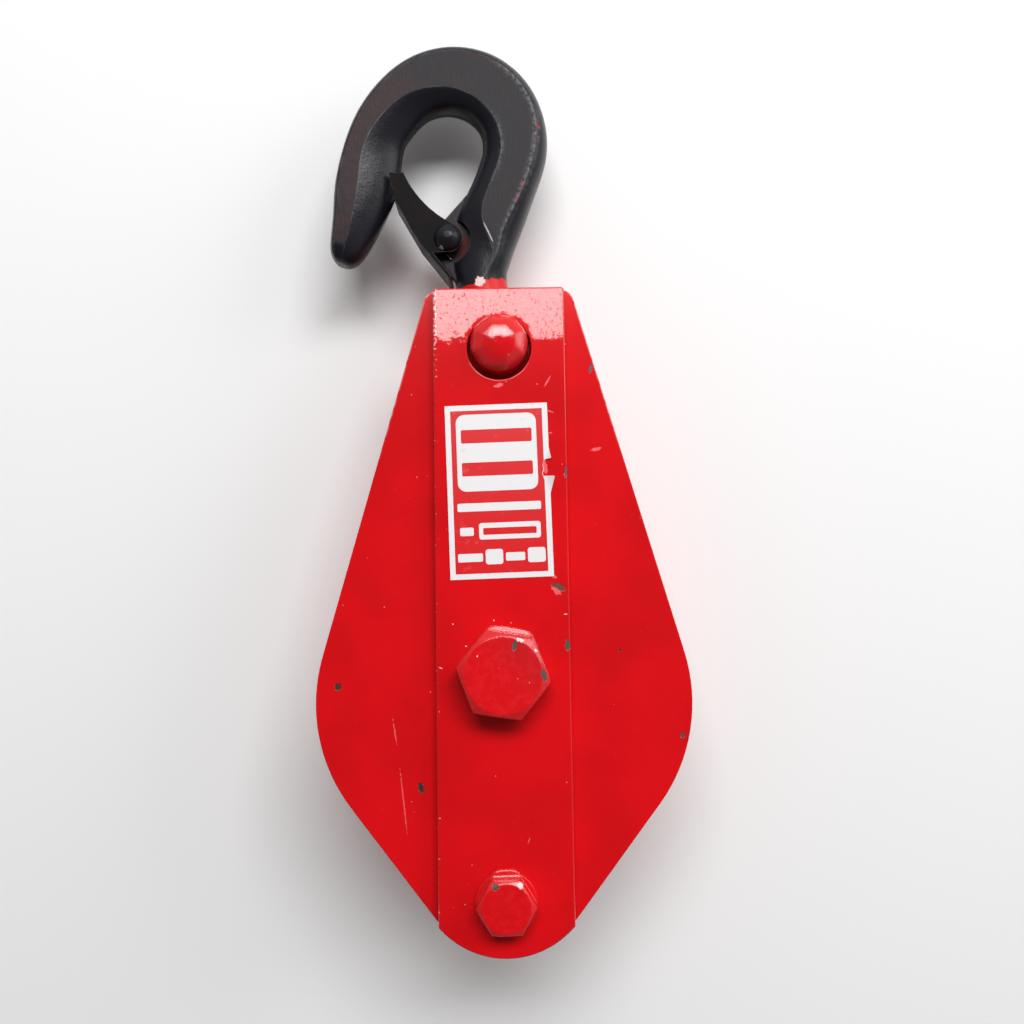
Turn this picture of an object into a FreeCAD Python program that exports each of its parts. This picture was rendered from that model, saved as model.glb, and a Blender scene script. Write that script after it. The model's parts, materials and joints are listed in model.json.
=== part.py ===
import FreeCAD, Part
import math
import os

# Single-sheave pulley block with a swivelling latch hook, hung from its hook.
# Millimetres. The origin is the centre of the sheave, +Y is the sheave's axis
# pointing to the nut side, and +Z runs up the block towards the hook.
# The block hangs plumb and the hook leans to -X about the crosshead's journals.

Vector = FreeCAD.Vector

# Cheeks and straps
cheek_gap = 30.0
cheek_thickness = 3.0
cheek_top = 131.3
cheek_top_half_width = 25.0
cheek_corner_radius = 4.4
belly_radius = 57.0
belly_half_width = 63.6
belly_height = -10.0
strap_width = 45.0
strap_thickness = 5.0
strap_top_drop = 0.3
strap_bottom = -93.0
strap_end_radius = 30.0
strap_corner_radius = 1.2
strap_edge_radius = 0.6

# Crosshead and its journals
journal_diameter = 19.5
journal_hole_diameter = 22.0
journal_hole_drop = 21.3
journal_running_clearance = 0.08
journal_end_projection = 7.0
journal_dome_height = 5.0
journal_facets = 8
# Share of the dome's height, share of its radius, turn of the facets
journal_dome_steps = ((0.0, 1.0, 0.0), (0.55, 0.86, 6.0), (0.88, 0.55, 10.0), (1.0, 0.2, 14.0))
drum_diameter = 35.0
drum_side_clearance = 0.4
shank_seat_height = 14.5

# Sheave, bush and axle
sheave_diameter = 100.0
rope_diameter = 12.0
groove_depth = 9.0
groove_radius_factor = 0.53
groove_flank_angle = 22.5
rim_width = 25.0
rim_depth = 14.0
rim_lip_chamfer = 1.2
web_thickness = 11.0
hub_diameter = 48.0
web_draft = 3.0
bush_wall = 3.0
bush_running_clearance = 0.06
sleeve_diameter = 28.0
side_washer_thickness = 1.5
side_washer_diameter = 44.0
hub_side_clearance = 0.3
axle_diameter = 18.0
axle_across_flats = 27.0
axle_head_height = 11.5
axle_nut_height = 15.0
axle_washer_diameter = 34.0
axle_washer_thickness = 3.0
axle_head_turn = -9.3
axle_nut_turn = 12.0

# Tie bolt across the foot of the cheeks
tie_height = -74.5
tie_diameter = 10.0
tie_across_flats = 17.0
tie_head_height = 6.4
tie_nut_height = 8.4
tie_washer_diameter = 20.5
tie_washer_thickness = 2.0
tie_spacer_diameter = 16.0
tie_head_turn = 1.2
tie_nut_turn = -7.0

# Values shared by all bolts, nuts and washers
bolt_hole_clearance = 0.2
thread_clearance = 0.06
washer_hole_clearance = 0.25
thread_projection = 4.0
thread_end_chamfer = 1.2
hex_chamfer_share = 0.93
hex_chamfer_angle = 30.0

# Hook, in its own upright plane: u to the right, w up from the journal axis
hook_lean = 13.0
hook_thickness = 18.0
flank_shoulder = 0.82
flank_nose = 1.57
ridge_angle = 15.0
bowl_center = 81.0
bowl_radius = 13.1
bowl_swell_start = 140.0
bowl_swell_slope = 0.1
neck_diameter = 18.5
neck_bevel_share = 0.48
neck_ridge_angle = 4.4
neck_top = 26.0
neck_seat_gap = 0.5
shank_diameter = 16.0
shank_running_clearance = 0.1
shank_end = -36.0
tip_start_reach = 29.5
tip_start_drop = 1.5
tip_end_reach = 47.5
tip_end_drop = 33.6
tip_bow = 1.4
tip_start_width = 25.0
tip_end_width = 10.4
tip_start_turn = 175.0
tip_end_turn = 147.0
tip_bevel_share = 0.6
tip_outer_bevel = 2.2
tip_width_power = 1.4
tip_turn_power = 1.5
tip_bevel_fade = 0.2
tip_thickness_fade = 0.22
tip_nose_length = 2.6
# Distance from the end as a share of the nose's length, and size of the section
tip_nose_steps = ((0.0, 0.45), (0.35, 0.74), (1.0, 0.92))
tip_body_shares = (0.8, 0.5, 0.22)

# Round the bowl: angle, depth of the body, inner bevel, outer bevel
bowl_rows = ((172.0, 22.6, 13.8, 2.2), (150.0, 21.6, 11.6, 2.9), (125.0, 21.6, 9.7, 3.4),
             (100.0, 22.6, 7.5, 3.6), (75.0, 24.0, 6.3, 3.9), (50.0, 25.0, 5.7, 4.2),
             (25.0, 24.8, 5.7, 4.0), (0.0, 24.0, 6.4, 3.9), (-25.0, 23.3, 7.3, 4.6))
# Down to the neck: reach, rise as a share, turn, width, inner bevel, outer bevel, ridge angle
root_rows = ((19.3, 0.717, -45.0, 23.6, 7.8, 4.3, 15.0), (13.8, 0.564, -52.0, 24.4, 7.8, 5.2, 14.0),
             (6.9, 0.395, -49.0, 25.0, 10.8, 5.8, 12.0), (1.9, 0.225, -33.0, 22.4, 16.6, 5.0, 9.0))

# Latch, its rivet, lug and spring
pivot_reach = 8.0
pivot_height = 46.0
latch_lean = 24.8
latch_length = 32.0
latch_sheet = 1.4
latch_inner_width = 12.0
latch_eye_radius = 5.4
latch_web_offset = 8.9
latch_web_tail = 12.0
latch_web_length = 23.0
latch_web_taper = 2.6
latch_end_width = 5.2
latch_nose_reach = 1.6
latch_nose_share = (0.78, 0.62)
latch_waist = (1.5, 13.76)
latch_eye_angles = (28.0, -40.0, -112.0)
rivet_diameter = 5.0
rivet_head_diameter = 10.0
rivet_head_height = 3.4
rivet_clearance = 0.06
rivet_head_gap = 0.15
lug_thickness = 5.6
lug_radius = 6.4
lug_pocket_radius = 8.2
lug_heel_share = 0.4
lug_heel_rise = 2.0
lug_brow_angle = -78.0
lug_brow_margin = 6.0
spring_wire = 0.9
spring_turns = 2
spring_mean_radius = 3.5
spring_side_gap = 0.2
spring_leg_length = 17.0
spring_leg_gap = 0.35
spring_bar_share = 0.72

# Swivel nut, its washer and split pin
shank_across_flats = 24.0
shank_nut_height = 10.0
crown_height = 5.4
crown_diameter = 21.6
crown_slot_width = 4.2
crown_slots = 6
thrust_washer_diameter = 27.0
thrust_washer_thickness = 3.0
thrust_gap = 0.15
split_pin_diameter = 3.2
split_pin_clearance = 0.2
split_pin_bend_gap = 0.4

# Label
label_width = 34.8
label_height = 59.0
label_thickness = 0.2
label_center_x = -0.7
label_center_height = 61.0
label_turn = 1.4

# Sizes worked out from those above
strap_top = cheek_top - strap_top_drop
journal_hole_height = cheek_top - journal_hole_drop
cheek_face = cheek_gap / 2
strap_seat = cheek_face + cheek_thickness
strap_face = strap_seat + strap_thickness
journal_height = (journal_hole_height
                  + (journal_hole_diameter - journal_diameter) / 2 - journal_running_clearance)
drum_half_length = cheek_face - drum_side_clearance
hub_half_width = cheek_face - side_washer_thickness - hub_side_clearance
bush_bore = sleeve_diameter + 2 * bush_running_clearance
bush_diameter = bush_bore + 2 * bush_wall
foot_center = strap_bottom + strap_end_radius
latch_half_width = latch_inner_width / 2 + latch_sheet
neck_seat = shank_seat_height + neck_seat_gap
Y_AXIS = Vector(0, 1, 0)
Z_AXIS = Vector(0, 0, 1)


def point(x, z, y=0.0):
    """A point given in the block's front view, at a depth y."""
    return Vector(x, y, z)


def turned(angle, radius, center=(0.0, 0.0)):
    """The front-view point at an angle and a radius from a center."""
    turn = math.radians(angle)
    return center[0] + radius * math.cos(turn), center[1] + radius * math.sin(turn)


def cylinder_y(diameter, start, end, x=0.0, z=0.0):
    """A cylinder along Y."""
    return Part.makeCylinder(diameter / 2, end - start, point(x, z, start), Y_AXIS)


def ring_y(outer, inner, start, end, x=0.0, z=0.0):
    """A round ring along Y."""
    return cylinder_y(outer, start, end, x, z).cut(cylinder_y(inner, start, end, x, z))


def extruded(edges, start, end):
    """A plate from a closed front-view outline, between two depths."""
    face = Part.Face(Part.Wire(edges))
    face.translate(Vector(0, start, 0))
    return face.extrude(Vector(0, end - start, 0))


def mirrored_y(shape):
    """The same piece on the other side of the block's middle plane."""
    return shape.mirror(Vector(0, 0, 0), Y_AXIS)


def line(start, end):
    """A straight front-view edge."""
    return Part.makeLine(point(*start), point(*end))


def arc(start, middle, end):
    """A round front-view edge through three points."""
    return Part.Arc(point(*start), point(*middle), point(*end)).toShape()


def polygon(points):
    """The straight edges of a closed front-view outline."""
    return [line(start, end) for start, end in zip(points, points[1:] + points[:1])]


def tangent_angle(start, center, radius, side):
    """Where on a circle the tangent from a point touches it, as an angle."""
    away = math.atan2(start[1] - center[1], start[0] - center[0])
    opening = math.acos(radius / math.dist(start, center))
    return math.degrees(away + side * opening)


def belt_angle(first, first_radius, second, second_radius):
    """The angle at which the right-hand tangent of two circles touches both."""
    along = math.atan2(second[1] - first[1], second[0] - first[0])
    opening = math.acos((first_radius - second_radius) / math.dist(first, second))
    return math.degrees(along + opening)


def parallel_edges(shape, direction, spots):
    """Edges along a direction that pass through one of the front-view spots."""
    found = []
    for edge in shape.Edges:
        ends = [vertex.Point for vertex in edge.Vertexes]
        if len(ends) != 2 or (ends[1] - ends[0]).cross(direction).Length > 1e-6:
            continue
        if any(math.dist((ends[0].x, ends[0].z), spot) < 1e-3 for spot in spots):
            found.append(edge)
    return found


def edges_at_depth(shape, depth):
    """Edges that lie wholly in the plane at one depth."""
    return [edge for edge in shape.Edges
            if all(abs(vertex.Point.y - depth) < 1e-6 for vertex in edge.Vertexes)]


def cheek_outline():
    """Kite-shaped cheek: straight flanks, round belly, round foot."""
    belly = (belly_half_width - belly_radius, belly_height)
    foot = (0.0, foot_center)
    corner = (cheek_top_half_width, cheek_top)
    upper = turned(tangent_angle(corner, belly, belly_radius, -1), belly_radius, belly)
    lower_angle = belt_angle(belly, belly_radius, foot, strap_end_radius)
    lower = turned(lower_angle, belly_radius, belly)
    middle = (belly[0] + belly_radius, belly[1])
    toe = turned(lower_angle, strap_end_radius, foot)
    bottom = (0.0, foot[1] - strap_end_radius)
    right = [line(corner, upper), arc(upper, middle, lower), line(lower, toe)]
    left = [edge.mirror(Vector(0, 0, 0), Vector(1, 0, 0)) for edge in right]
    top = line((-corner[0], corner[1]), corner)
    return [top] + right + [arc(toe, bottom, (-toe[0], toe[1]))] + left


def side_holes(start, end):
    """The three holes that cheeks and straps share, as solid plugs."""
    journal = cylinder_y(journal_hole_diameter, start, end, z=journal_hole_height)
    axle = cylinder_y(axle_diameter + 2 * bolt_hole_clearance, start, end)
    tie = cylinder_y(tie_diameter + 2 * bolt_hole_clearance, start, end, z=tie_height)
    return journal.fuse([axle, tie])


def front_cheek():
    plate = extruded(cheek_outline(), -strap_seat, -cheek_face)
    corners = [(side * cheek_top_half_width, cheek_top) for side in (-1, 1)]
    plate = plate.makeFillet(cheek_corner_radius, parallel_edges(plate, Y_AXIS, corners))
    return plate.cut(side_holes(-strap_seat, -cheek_face))


def front_strap():
    """Flat bar that stiffens the cheek, with its foot cut round."""
    half = strap_width / 2
    shoulder = foot_center - math.sqrt(strap_end_radius ** 2 - half ** 2)
    left, right = (-half, shoulder), (half, shoulder)
    corners = [(-half, strap_top), (half, strap_top)]
    outline = [line(left, corners[0]), line(*corners), line(corners[1], right)]
    outline.append(arc(right, (0.0, strap_bottom), left))
    bar = extruded(outline, -strap_face, -strap_seat)
    bar = bar.makeFillet(strap_corner_radius, parallel_edges(bar, Y_AXIS, corners))
    bar = bar.makeFillet(strap_edge_radius, edges_at_depth(bar, -strap_face))
    return bar.cut(side_holes(-strap_face, -strap_seat))


def hex_prism(across_flats, start, end, turn, x=0.0, z=0.0):
    """Hexagonal bar along Y with one corner turned from +X."""
    radius = across_flats / 2 / math.cos(math.radians(30))
    corners = [turned(turn + 60 * step, radius, (x, z)) for step in range(6)]
    return extruded(polygon(corners), start, end)


def chamfer_cone(across_flats, start, end, z):
    """Turned body that trims a hexagon's corners at its end face."""
    rim = across_flats / 2 * hex_chamfer_share
    height = abs(end - start)
    spread = rim + height / math.tan(math.radians(hex_chamfer_angle))
    direction = Vector(0, math.copysign(1.0, start - end), 0)
    return Part.makeCone(spread, rim, height, point(0, z, start), direction * -1)


def hex_head(across_flats, seat, height, side, turn, z):
    """Bolt head or nut blank on its seat, chamfered on the free face."""
    free = seat + side * height
    prism = hex_prism(across_flats, min(seat, free), max(seat, free), turn, z=z)
    return prism.common(chamfer_cone(across_flats, seat, free, z))


def bolt(diameter, across_flats, head_height, head_seat, end, turn, z):
    """Hexagon bolt from the front, with a chamfered thread end."""
    head = hex_head(across_flats, head_seat, head_height, -1, turn, z)
    shank = cylinder_y(diameter, head_seat, end - thread_end_chamfer, z=z)
    nose = Part.makeCone(diameter / 2, diameter / 2 - thread_end_chamfer, thread_end_chamfer,
                         point(0, z, end - thread_end_chamfer), Y_AXIS)
    return head.fuse([shank, nose]).removeSplitter()


def nut(diameter, across_flats, height, seat, turn, z):
    """Hexagon nut on the rear side, chamfered on both faces."""
    blank = hex_head(across_flats, seat, height, 1, turn, z)
    blank = blank.common(chamfer_cone(across_flats, seat + height, seat, z))
    bore = cylinder_y(diameter + 2 * thread_clearance, seat, seat + height, z=z)
    return blank.cut(bore)


def washer(diameter, bore, thickness, seat, side, z=0.0):
    """Flat washer lying on a seat, to the front (-1) or the rear (+1)."""
    free = seat + side * thickness
    hole = bore + 2 * washer_hole_clearance
    return ring_y(diameter, hole, min(seat, free), max(seat, free), z=z)


def axle_parts():
    """Bolt, sleeve, washers and nut that carry the sheave."""
    nut_seat = strap_face + axle_washer_thickness
    end = nut_seat + axle_nut_height + thread_projection
    sleeve_bore = axle_diameter + 2 * bolt_hole_clearance
    front_side_washer = washer(side_washer_diameter, sleeve_diameter, side_washer_thickness,
                               -cheek_face, 1)
    return {
        "axle_bolt": bolt(axle_diameter, axle_across_flats, axle_head_height, -strap_face, end,
                          axle_head_turn, 0.0),
        "axle_sleeve": ring_y(sleeve_diameter, sleeve_bore, -cheek_face, cheek_face),
        "axle_washer": washer(axle_washer_diameter, axle_diameter, axle_washer_thickness,
                              strap_face, 1),
        "axle_nut": nut(axle_diameter, axle_across_flats, axle_nut_height, nut_seat,
                        axle_nut_turn, 0.0),
        "front_side_washer": front_side_washer,
        "rear_side_washer": mirrored_y(front_side_washer),
    }


def tie_parts():
    """Bolt, spacer, washers and nut across the foot."""
    nut_seat = strap_face + tie_washer_thickness
    end = nut_seat + tie_nut_height + thread_projection
    front_washer = washer(tie_washer_diameter, tie_diameter, tie_washer_thickness,
                          -strap_face, -1, tie_height)
    spacer_bore = tie_diameter + 2 * bolt_hole_clearance
    return {
        "tie_bolt": bolt(tie_diameter, tie_across_flats, tie_head_height, -nut_seat, end,
                         tie_head_turn, tie_height),
        "tie_front_washer": front_washer,
        "tie_rear_washer": mirrored_y(front_washer),
        "tie_spacer": ring_y(tie_spacer_diameter, spacer_bore, -cheek_face, cheek_face,
                             z=tie_height),
        "tie_nut": nut(tie_diameter, tie_across_flats, tie_nut_height, nut_seat,
                       tie_nut_turn, tie_height),
    }


def sheave():
    """Cast wheel: hub, dished web and rim with a round rope groove."""
    outer = sheave_diameter / 2
    bottom = outer - groove_depth
    groove_radius = rope_diameter * groove_radius_factor
    flank = math.radians(groove_flank_angle)
    groove_center = bottom + groove_radius
    tangent_y = groove_radius * math.cos(flank)
    tangent_r = groove_center - groove_radius * math.sin(flank)
    mouth = tangent_y + (outer - tangent_r) * math.tan(flank)
    rim_inner = outer - rim_depth
    half = [(hub_half_width, bush_diameter / 2), (hub_half_width, hub_diameter / 2),
            (web_thickness / 2 + web_draft / 2, hub_diameter / 2 + web_draft),
            (web_thickness / 2, rim_inner - web_draft),
            (rim_width / 2 - rim_lip_chamfer, rim_inner),
            (rim_width / 2, rim_inner + rim_lip_chamfer),
            (rim_width / 2, outer - rim_lip_chamfer),
            (rim_width / 2 - rim_lip_chamfer, outer), (mouth, outer), (tangent_y, tangent_r)]
    right = [Vector(0, y, r) for y, r in half]
    left = [Vector(0, -y, r) for y, r in reversed(half)]
    edges = [Part.makeLine(a, b) for a, b in zip(right, right[1:])]
    edges.append(Part.Arc(right[-1], Vector(0, 0, bottom), left[0]).toShape())
    edges += [Part.makeLine(a, b) for a, b in zip(left, left[1:])]
    edges.append(Part.makeLine(left[-1], right[0]))
    return Part.Face(Part.Wire(edges)).revolve(Vector(0, 0, 0), Y_AXIS, 360)


def sheave_bush():
    return ring_y(bush_diameter, bush_bore, -hub_half_width, hub_half_width)


def faceted_dome():
    """Front end of a journal, ground by hand to uneven facets in steps."""
    start = strap_face + journal_end_projection - journal_dome_height
    corner_radius = journal_diameter / 2 / math.cos(math.pi / journal_facets)
    wires = []
    for height, share, turn in journal_dome_steps:
        ring = [turned(turn + 360 / journal_facets * step, corner_radius * share)
                for step in range(journal_facets)]
        depth = -(start + height * journal_dome_height)
        corners = [point(x, z, depth) for x, z in ring]
        wires.append(Part.makePolygon(corners + corners[:1]))
    return Part.makeLoft(wires, True, True)


def crosshead():
    """Turned drum with two journals, cross-bored and flatted for the hook's shank."""
    drum = cylinder_y(drum_diameter, -drum_half_length, drum_half_length)
    dome_start = strap_face + journal_end_projection - journal_dome_height
    journals = cylinder_y(journal_diameter, -dome_start, dome_start)
    plug = cylinder_y(journal_diameter, -dome_start - journal_dome_height, -dome_start)
    front_end = faceted_dome().common(plug)
    body = drum.fuse([journals, front_end, mirrored_y(front_end)])
    slab = Part.makeBox(drum_diameter, drum_diameter, drum_diameter)
    upper = slab.translated(Vector(-drum_diameter / 2, -drum_diameter / 2, shank_seat_height))
    lower = upper.mirror(Vector(0, 0, 0), Z_AXIS)
    bore = shank_diameter + 2 * shank_running_clearance
    hole = Part.makeCylinder(bore / 2, drum_diameter, Vector(0, 0, -drum_diameter / 2))
    return in_hook(body.cut([upper, lower, hole]))


def in_hook(shape):
    """Moves a piece from the hook's own upright plane to its place in the block."""
    placed = shape.copy()
    placed.rotate(Vector(0, 0, 0), Y_AXIS, -hook_lean)
    placed.translate(Vector(0, 0, journal_height))
    return placed


def hook_section(center, turn, width, inner_bevel, outer_bevel, half, slope=ridge_angle):
    """One closed section of the forging: two flats and two swelling flanks.

    center: the section's middle, as (u, w).
    turn: direction from the bowl's side to the back, in degrees.
    width: size along that direction.
    inner_bevel, outer_bevel: how far each flank reaches before the flat starts.
    half: half the thickness.
    slope: angle between flat and flank at the ridge, in degrees.
    """
    across = Vector(math.cos(math.radians(turn)), 0, math.sin(math.radians(turn)))
    inner = point(*center) - across * (width / 2)
    outer = point(*center) + across * (width / 2)

    def flank(edge, reach, side):
        """Flank from the ridge at y = side * half round to the opposite ridge."""
        ridge = edge - reach
        rise = Vector(0, side * half, 0)
        shoulder = reach * flank_shoulder
        kept = rise * (1.0 - shoulder.Length * math.tan(math.radians(slope)) / half)
        poles = [ridge + rise, ridge + shoulder + kept, ridge + reach * flank_nose,
                 ridge + shoulder - kept, ridge - rise]
        curve = Part.BezierCurve()
        curve.setPoles(poles)
        return curve.toShape()

    front = Vector(0, -half, 0)
    inner_ridge = inner + across * inner_bevel
    outer_ridge = outer - across * outer_bevel
    return Part.Wire([
        Part.makeLine(inner_ridge + front, outer_ridge + front),
        flank(outer, across * outer_bevel, -1),
        Part.makeLine(outer_ridge - front, inner_ridge - front),
        flank(inner, across * -inner_bevel, 1),
    ])


def tip_sections():
    """Sections from the rounded nose up the tip to the bowl."""
    start = (-tip_start_reach, bowl_center - tip_start_drop)
    end = (-tip_end_reach, bowl_center - tip_end_drop)
    length = math.dist(start, end)
    half = hook_thickness / 2
    steps = [(1.0 - away * tip_nose_length / length, size) for away, size in tip_nose_steps]
    steps += [(share, 1.0) for share in tip_body_shares]
    sections = []
    for share, size in steps:
        bow = tip_bow * math.sin(math.pi * share)
        center = (start[0] + (end[0] - start[0]) * share + bow,
                  start[1] + (end[1] - start[1]) * share)
        width = (tip_start_width
                 + (tip_end_width - tip_start_width) * share ** tip_width_power)
        turn = tip_start_turn + (tip_end_turn - tip_start_turn) * share ** tip_turn_power
        bevel = width * tip_bevel_share * (1.0 - tip_bevel_fade * share ** 2)
        taper = half * (1.0 - tip_thickness_fade * share ** 3)
        sections.append(hook_section(center, turn, width * size, bevel * size,
                                     tip_outer_bevel * size, taper * size))
    return sections


def bowl_sections():
    """Sections round the bowl, from the tip's side to the back."""
    sections = []
    for angle, depth, inner_bevel, outer_bevel in bowl_rows:
        swell = max(0.0, angle - bowl_swell_start) * bowl_swell_slope
        middle = bowl_radius + swell + depth / 2
        center = turned(angle, middle, (0.0, bowl_center))
        sections.append(hook_section(center, angle, depth, inner_bevel, outer_bevel,
                                     hook_thickness / 2))
    return sections


def root_sections():
    """Sections where the back runs down into the round neck."""
    below = bowl_center - neck_top
    half = hook_thickness / 2
    sections = [hook_section((reach, neck_top + rise * below), turn, width, inner_bevel,
                             outer_bevel, half, slope)
                for reach, rise, turn, width, inner_bevel, outer_bevel, slope in root_rows]
    bevel = neck_diameter * neck_bevel_share
    for height in (neck_top, (neck_top + neck_seat) / 2, neck_seat):
        sections.append(hook_section((0.0, height), 0.0, neck_diameter, bevel, bevel,
                                     neck_diameter / 2, neck_ridge_angle))
    return sections


def latch_lug():
    """Flat lug beside the neck that the latch straddles."""
    pivot = (-pivot_reach, pivot_height)
    heel = (-neck_diameter * lug_heel_share, neck_top + lug_heel_rise)
    left = turned(tangent_angle(heel, pivot, lug_radius, -1), lug_radius, pivot)
    brow = turned(lug_brow_angle, bowl_radius + lug_brow_margin, (0.0, bowl_center))
    top = turned(tangent_angle(brow, pivot, lug_radius, 1), lug_radius, pivot)
    half = lug_thickness / 2
    web = extruded(polygon([heel, left, top, brow, (neck_diameter / 4, neck_top)]), -half, half)
    return web.fuse(cylinder_y(2 * lug_radius, -half, half, *pivot))


def hook():
    """Forged hook with its neck, shank and latch lug."""
    body = Part.makeLoft(tip_sections() + bowl_sections() + root_sections(), True, False)
    shank = Part.makeCylinder(shank_diameter / 2, neck_seat - shank_end - thread_end_chamfer,
                              Vector(0, 0, shank_end + thread_end_chamfer))
    nose = Part.makeCone(shank_diameter / 2 - thread_end_chamfer, shank_diameter / 2,
                         thread_end_chamfer, Vector(0, 0, shank_end))
    pocket = cylinder_y(2 * lug_pocket_radius, lug_thickness / 2, hook_thickness,
                        -pivot_reach, pivot_height)
    body = body.cut([pocket, mirrored_y(pocket)])
    rivet_hole = cylinder_y(rivet_diameter + 2 * rivet_clearance, -hook_thickness,
                            hook_thickness, -pivot_reach, pivot_height)
    pin_hole = split_pin_rod(split_pin_diameter + 2 * split_pin_clearance)
    body = body.fuse([shank, nose, latch_lug()])
    return in_hook(body.cut([rivet_hole, pin_hole]))


def split_pin_rod(diameter):
    """Straight body of the split pin, across the shank along Y."""
    height = crown_middle()
    reach = crown_diameter / 2 + split_pin_bend_gap + split_pin_diameter / 4
    return Part.makeCylinder(diameter / 2, 2 * reach, Vector(0, -reach, height), Y_AXIS)


def nut_seat_height():
    """Where the shank's nut starts, below the crosshead and the thrust washer."""
    return -shank_seat_height - thrust_gap - thrust_washer_thickness


def crown_middle():
    """Height of the split pin, in the middle of the nut's crown."""
    return nut_seat_height() - shank_nut_height - crown_height / 2


def thrust_washer():
    bore = shank_diameter + 2 * washer_hole_clearance
    top = -shank_seat_height - thrust_gap
    start = Vector(0, 0, top - thrust_washer_thickness)
    disc = Part.makeCylinder(thrust_washer_diameter / 2, thrust_washer_thickness, start)
    return in_hook(disc.cut(Part.makeCylinder(bore / 2, thrust_washer_thickness, start)))


def shank_nut():
    """Castle nut that holds the hook's shank under the crosshead."""
    top = nut_seat_height()
    blank = hex_head(shank_across_flats, 0.0, shank_nut_height, 1, 0.0, 0.0)
    blank.rotate(Vector(0, 0, 0), Vector(1, 0, 0), -90)
    blank.translate(Vector(0, 0, top))
    height = shank_nut_height + crown_height
    crown = Part.makeCylinder(crown_diameter / 2, height, Vector(0, 0, top - height))
    bore = Part.makeCylinder(shank_diameter / 2 + thread_clearance, height,
                             Vector(0, 0, top - height))
    slot = Part.makeBox(crown_diameter, crown_slot_width, crown_height,
                        Vector(0, -crown_slot_width / 2, top - height))
    slots = []
    for step in range(crown_slots):
        cut = slot.copy()
        cut.rotate(Vector(0, 0, 0), Z_AXIS, 90 + 360 / crown_slots * step)
        slots.append(cut)
    return in_hook(blank.fuse(crown).cut([bore] + slots))


def split_pin():
    """Split pin through the crown: rod, eye at one end, legs bent at the other."""
    height = crown_middle()
    rod = split_pin_rod(split_pin_diameter)
    leg = split_pin_diameter / 4
    reach = crown_diameter / 2 + split_pin_bend_gap + leg
    eye = Part.makeTorus(split_pin_diameter / 2, leg, Vector(0, -reach, height), Vector(1, 0, 0))
    legs = [eye]
    bent = crown_height / 2 - leg - split_pin_bend_gap
    for side in (-1, 1):
        foot = Vector(side * leg, reach, height)
        legs.append(Part.makeCylinder(leg, bent, foot, Z_AXIS * side))
        legs.append(Part.makeSphere(leg, foot + Z_AXIS * (side * bent)))
    return in_hook(rod.fuse(legs))


def latch_rivet():
    """Rivet with a round head on each side of the latch."""
    seat = latch_half_width + rivet_head_gap
    radius = rivet_head_diameter / 2
    dome = (radius ** 2 + rivet_head_height ** 2) / (2 * rivet_head_height)
    ball = Part.makeSphere(dome, Vector(0, -seat - rivet_head_height + dome, 0))
    head = ball.common(cylinder_y(rivet_head_diameter, -seat - rivet_head_height, -seat))
    rod = cylinder_y(rivet_diameter, -seat, seat)
    rivet = rod.fuse([head, mirrored_y(head)]).removeSplitter()
    rivet.translate(Vector(-pivot_reach, 0, pivot_height))
    return in_hook(rivet)


def in_latch(shape):
    """Moves a piece from the latch's own plane to its closed place on the hook."""
    placed = shape.copy()
    placed.rotate(Vector(0, 0, 0), Y_AXIS, -latch_lean)
    placed.translate(Vector(-pivot_reach, 0, pivot_height))
    return in_hook(placed)


def latch():
    """Stamped channel: two flanges with eyes round the rivet, web on the outer side."""
    half = latch_half_width
    heel = (-latch_web_offset, 0.0)
    bend = (-latch_web_offset, latch_eye_radius)
    web_end = (-latch_web_offset + latch_web_taper, latch_web_length)
    nose_left = (-latch_nose_reach, latch_length)
    nose_right = (nose_left[0] + latch_end_width * latch_nose_share[0],
                  latch_length - latch_end_width * latch_nose_share[1])
    brow, below, chin = [turned(angle, latch_eye_radius) for angle in latch_eye_angles]
    flange = [line(heel, bend), line(bend, web_end), line(web_end, nose_left),
              line(nose_left, nose_right), arc(nose_right, latch_waist, brow),
              arc(brow, below, chin), line(chin, heel)]
    slab = extruded(flange, -half, half)
    channel = slab.cut(Part.makeBox(latch_length * 2, latch_inner_width, latch_length * 3,
                                    Vector(-latch_web_offset * 3, -latch_inner_width / 2,
                                           -latch_length)))
    sheet = latch_sheet
    web_outline = [(-latch_web_offset, -latch_web_tail), bend, web_end,
                   (web_end[0] + sheet, web_end[1]), (bend[0] + sheet, bend[1]),
                   (-latch_web_offset + sheet, -latch_web_tail)]
    web = extruded(polygon(web_outline), -half, half)
    hole = cylinder_y(rivet_diameter + 2 * rivet_clearance, -half, half)
    return in_latch(channel.fuse(web).cut(hole).removeSplitter())


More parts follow.
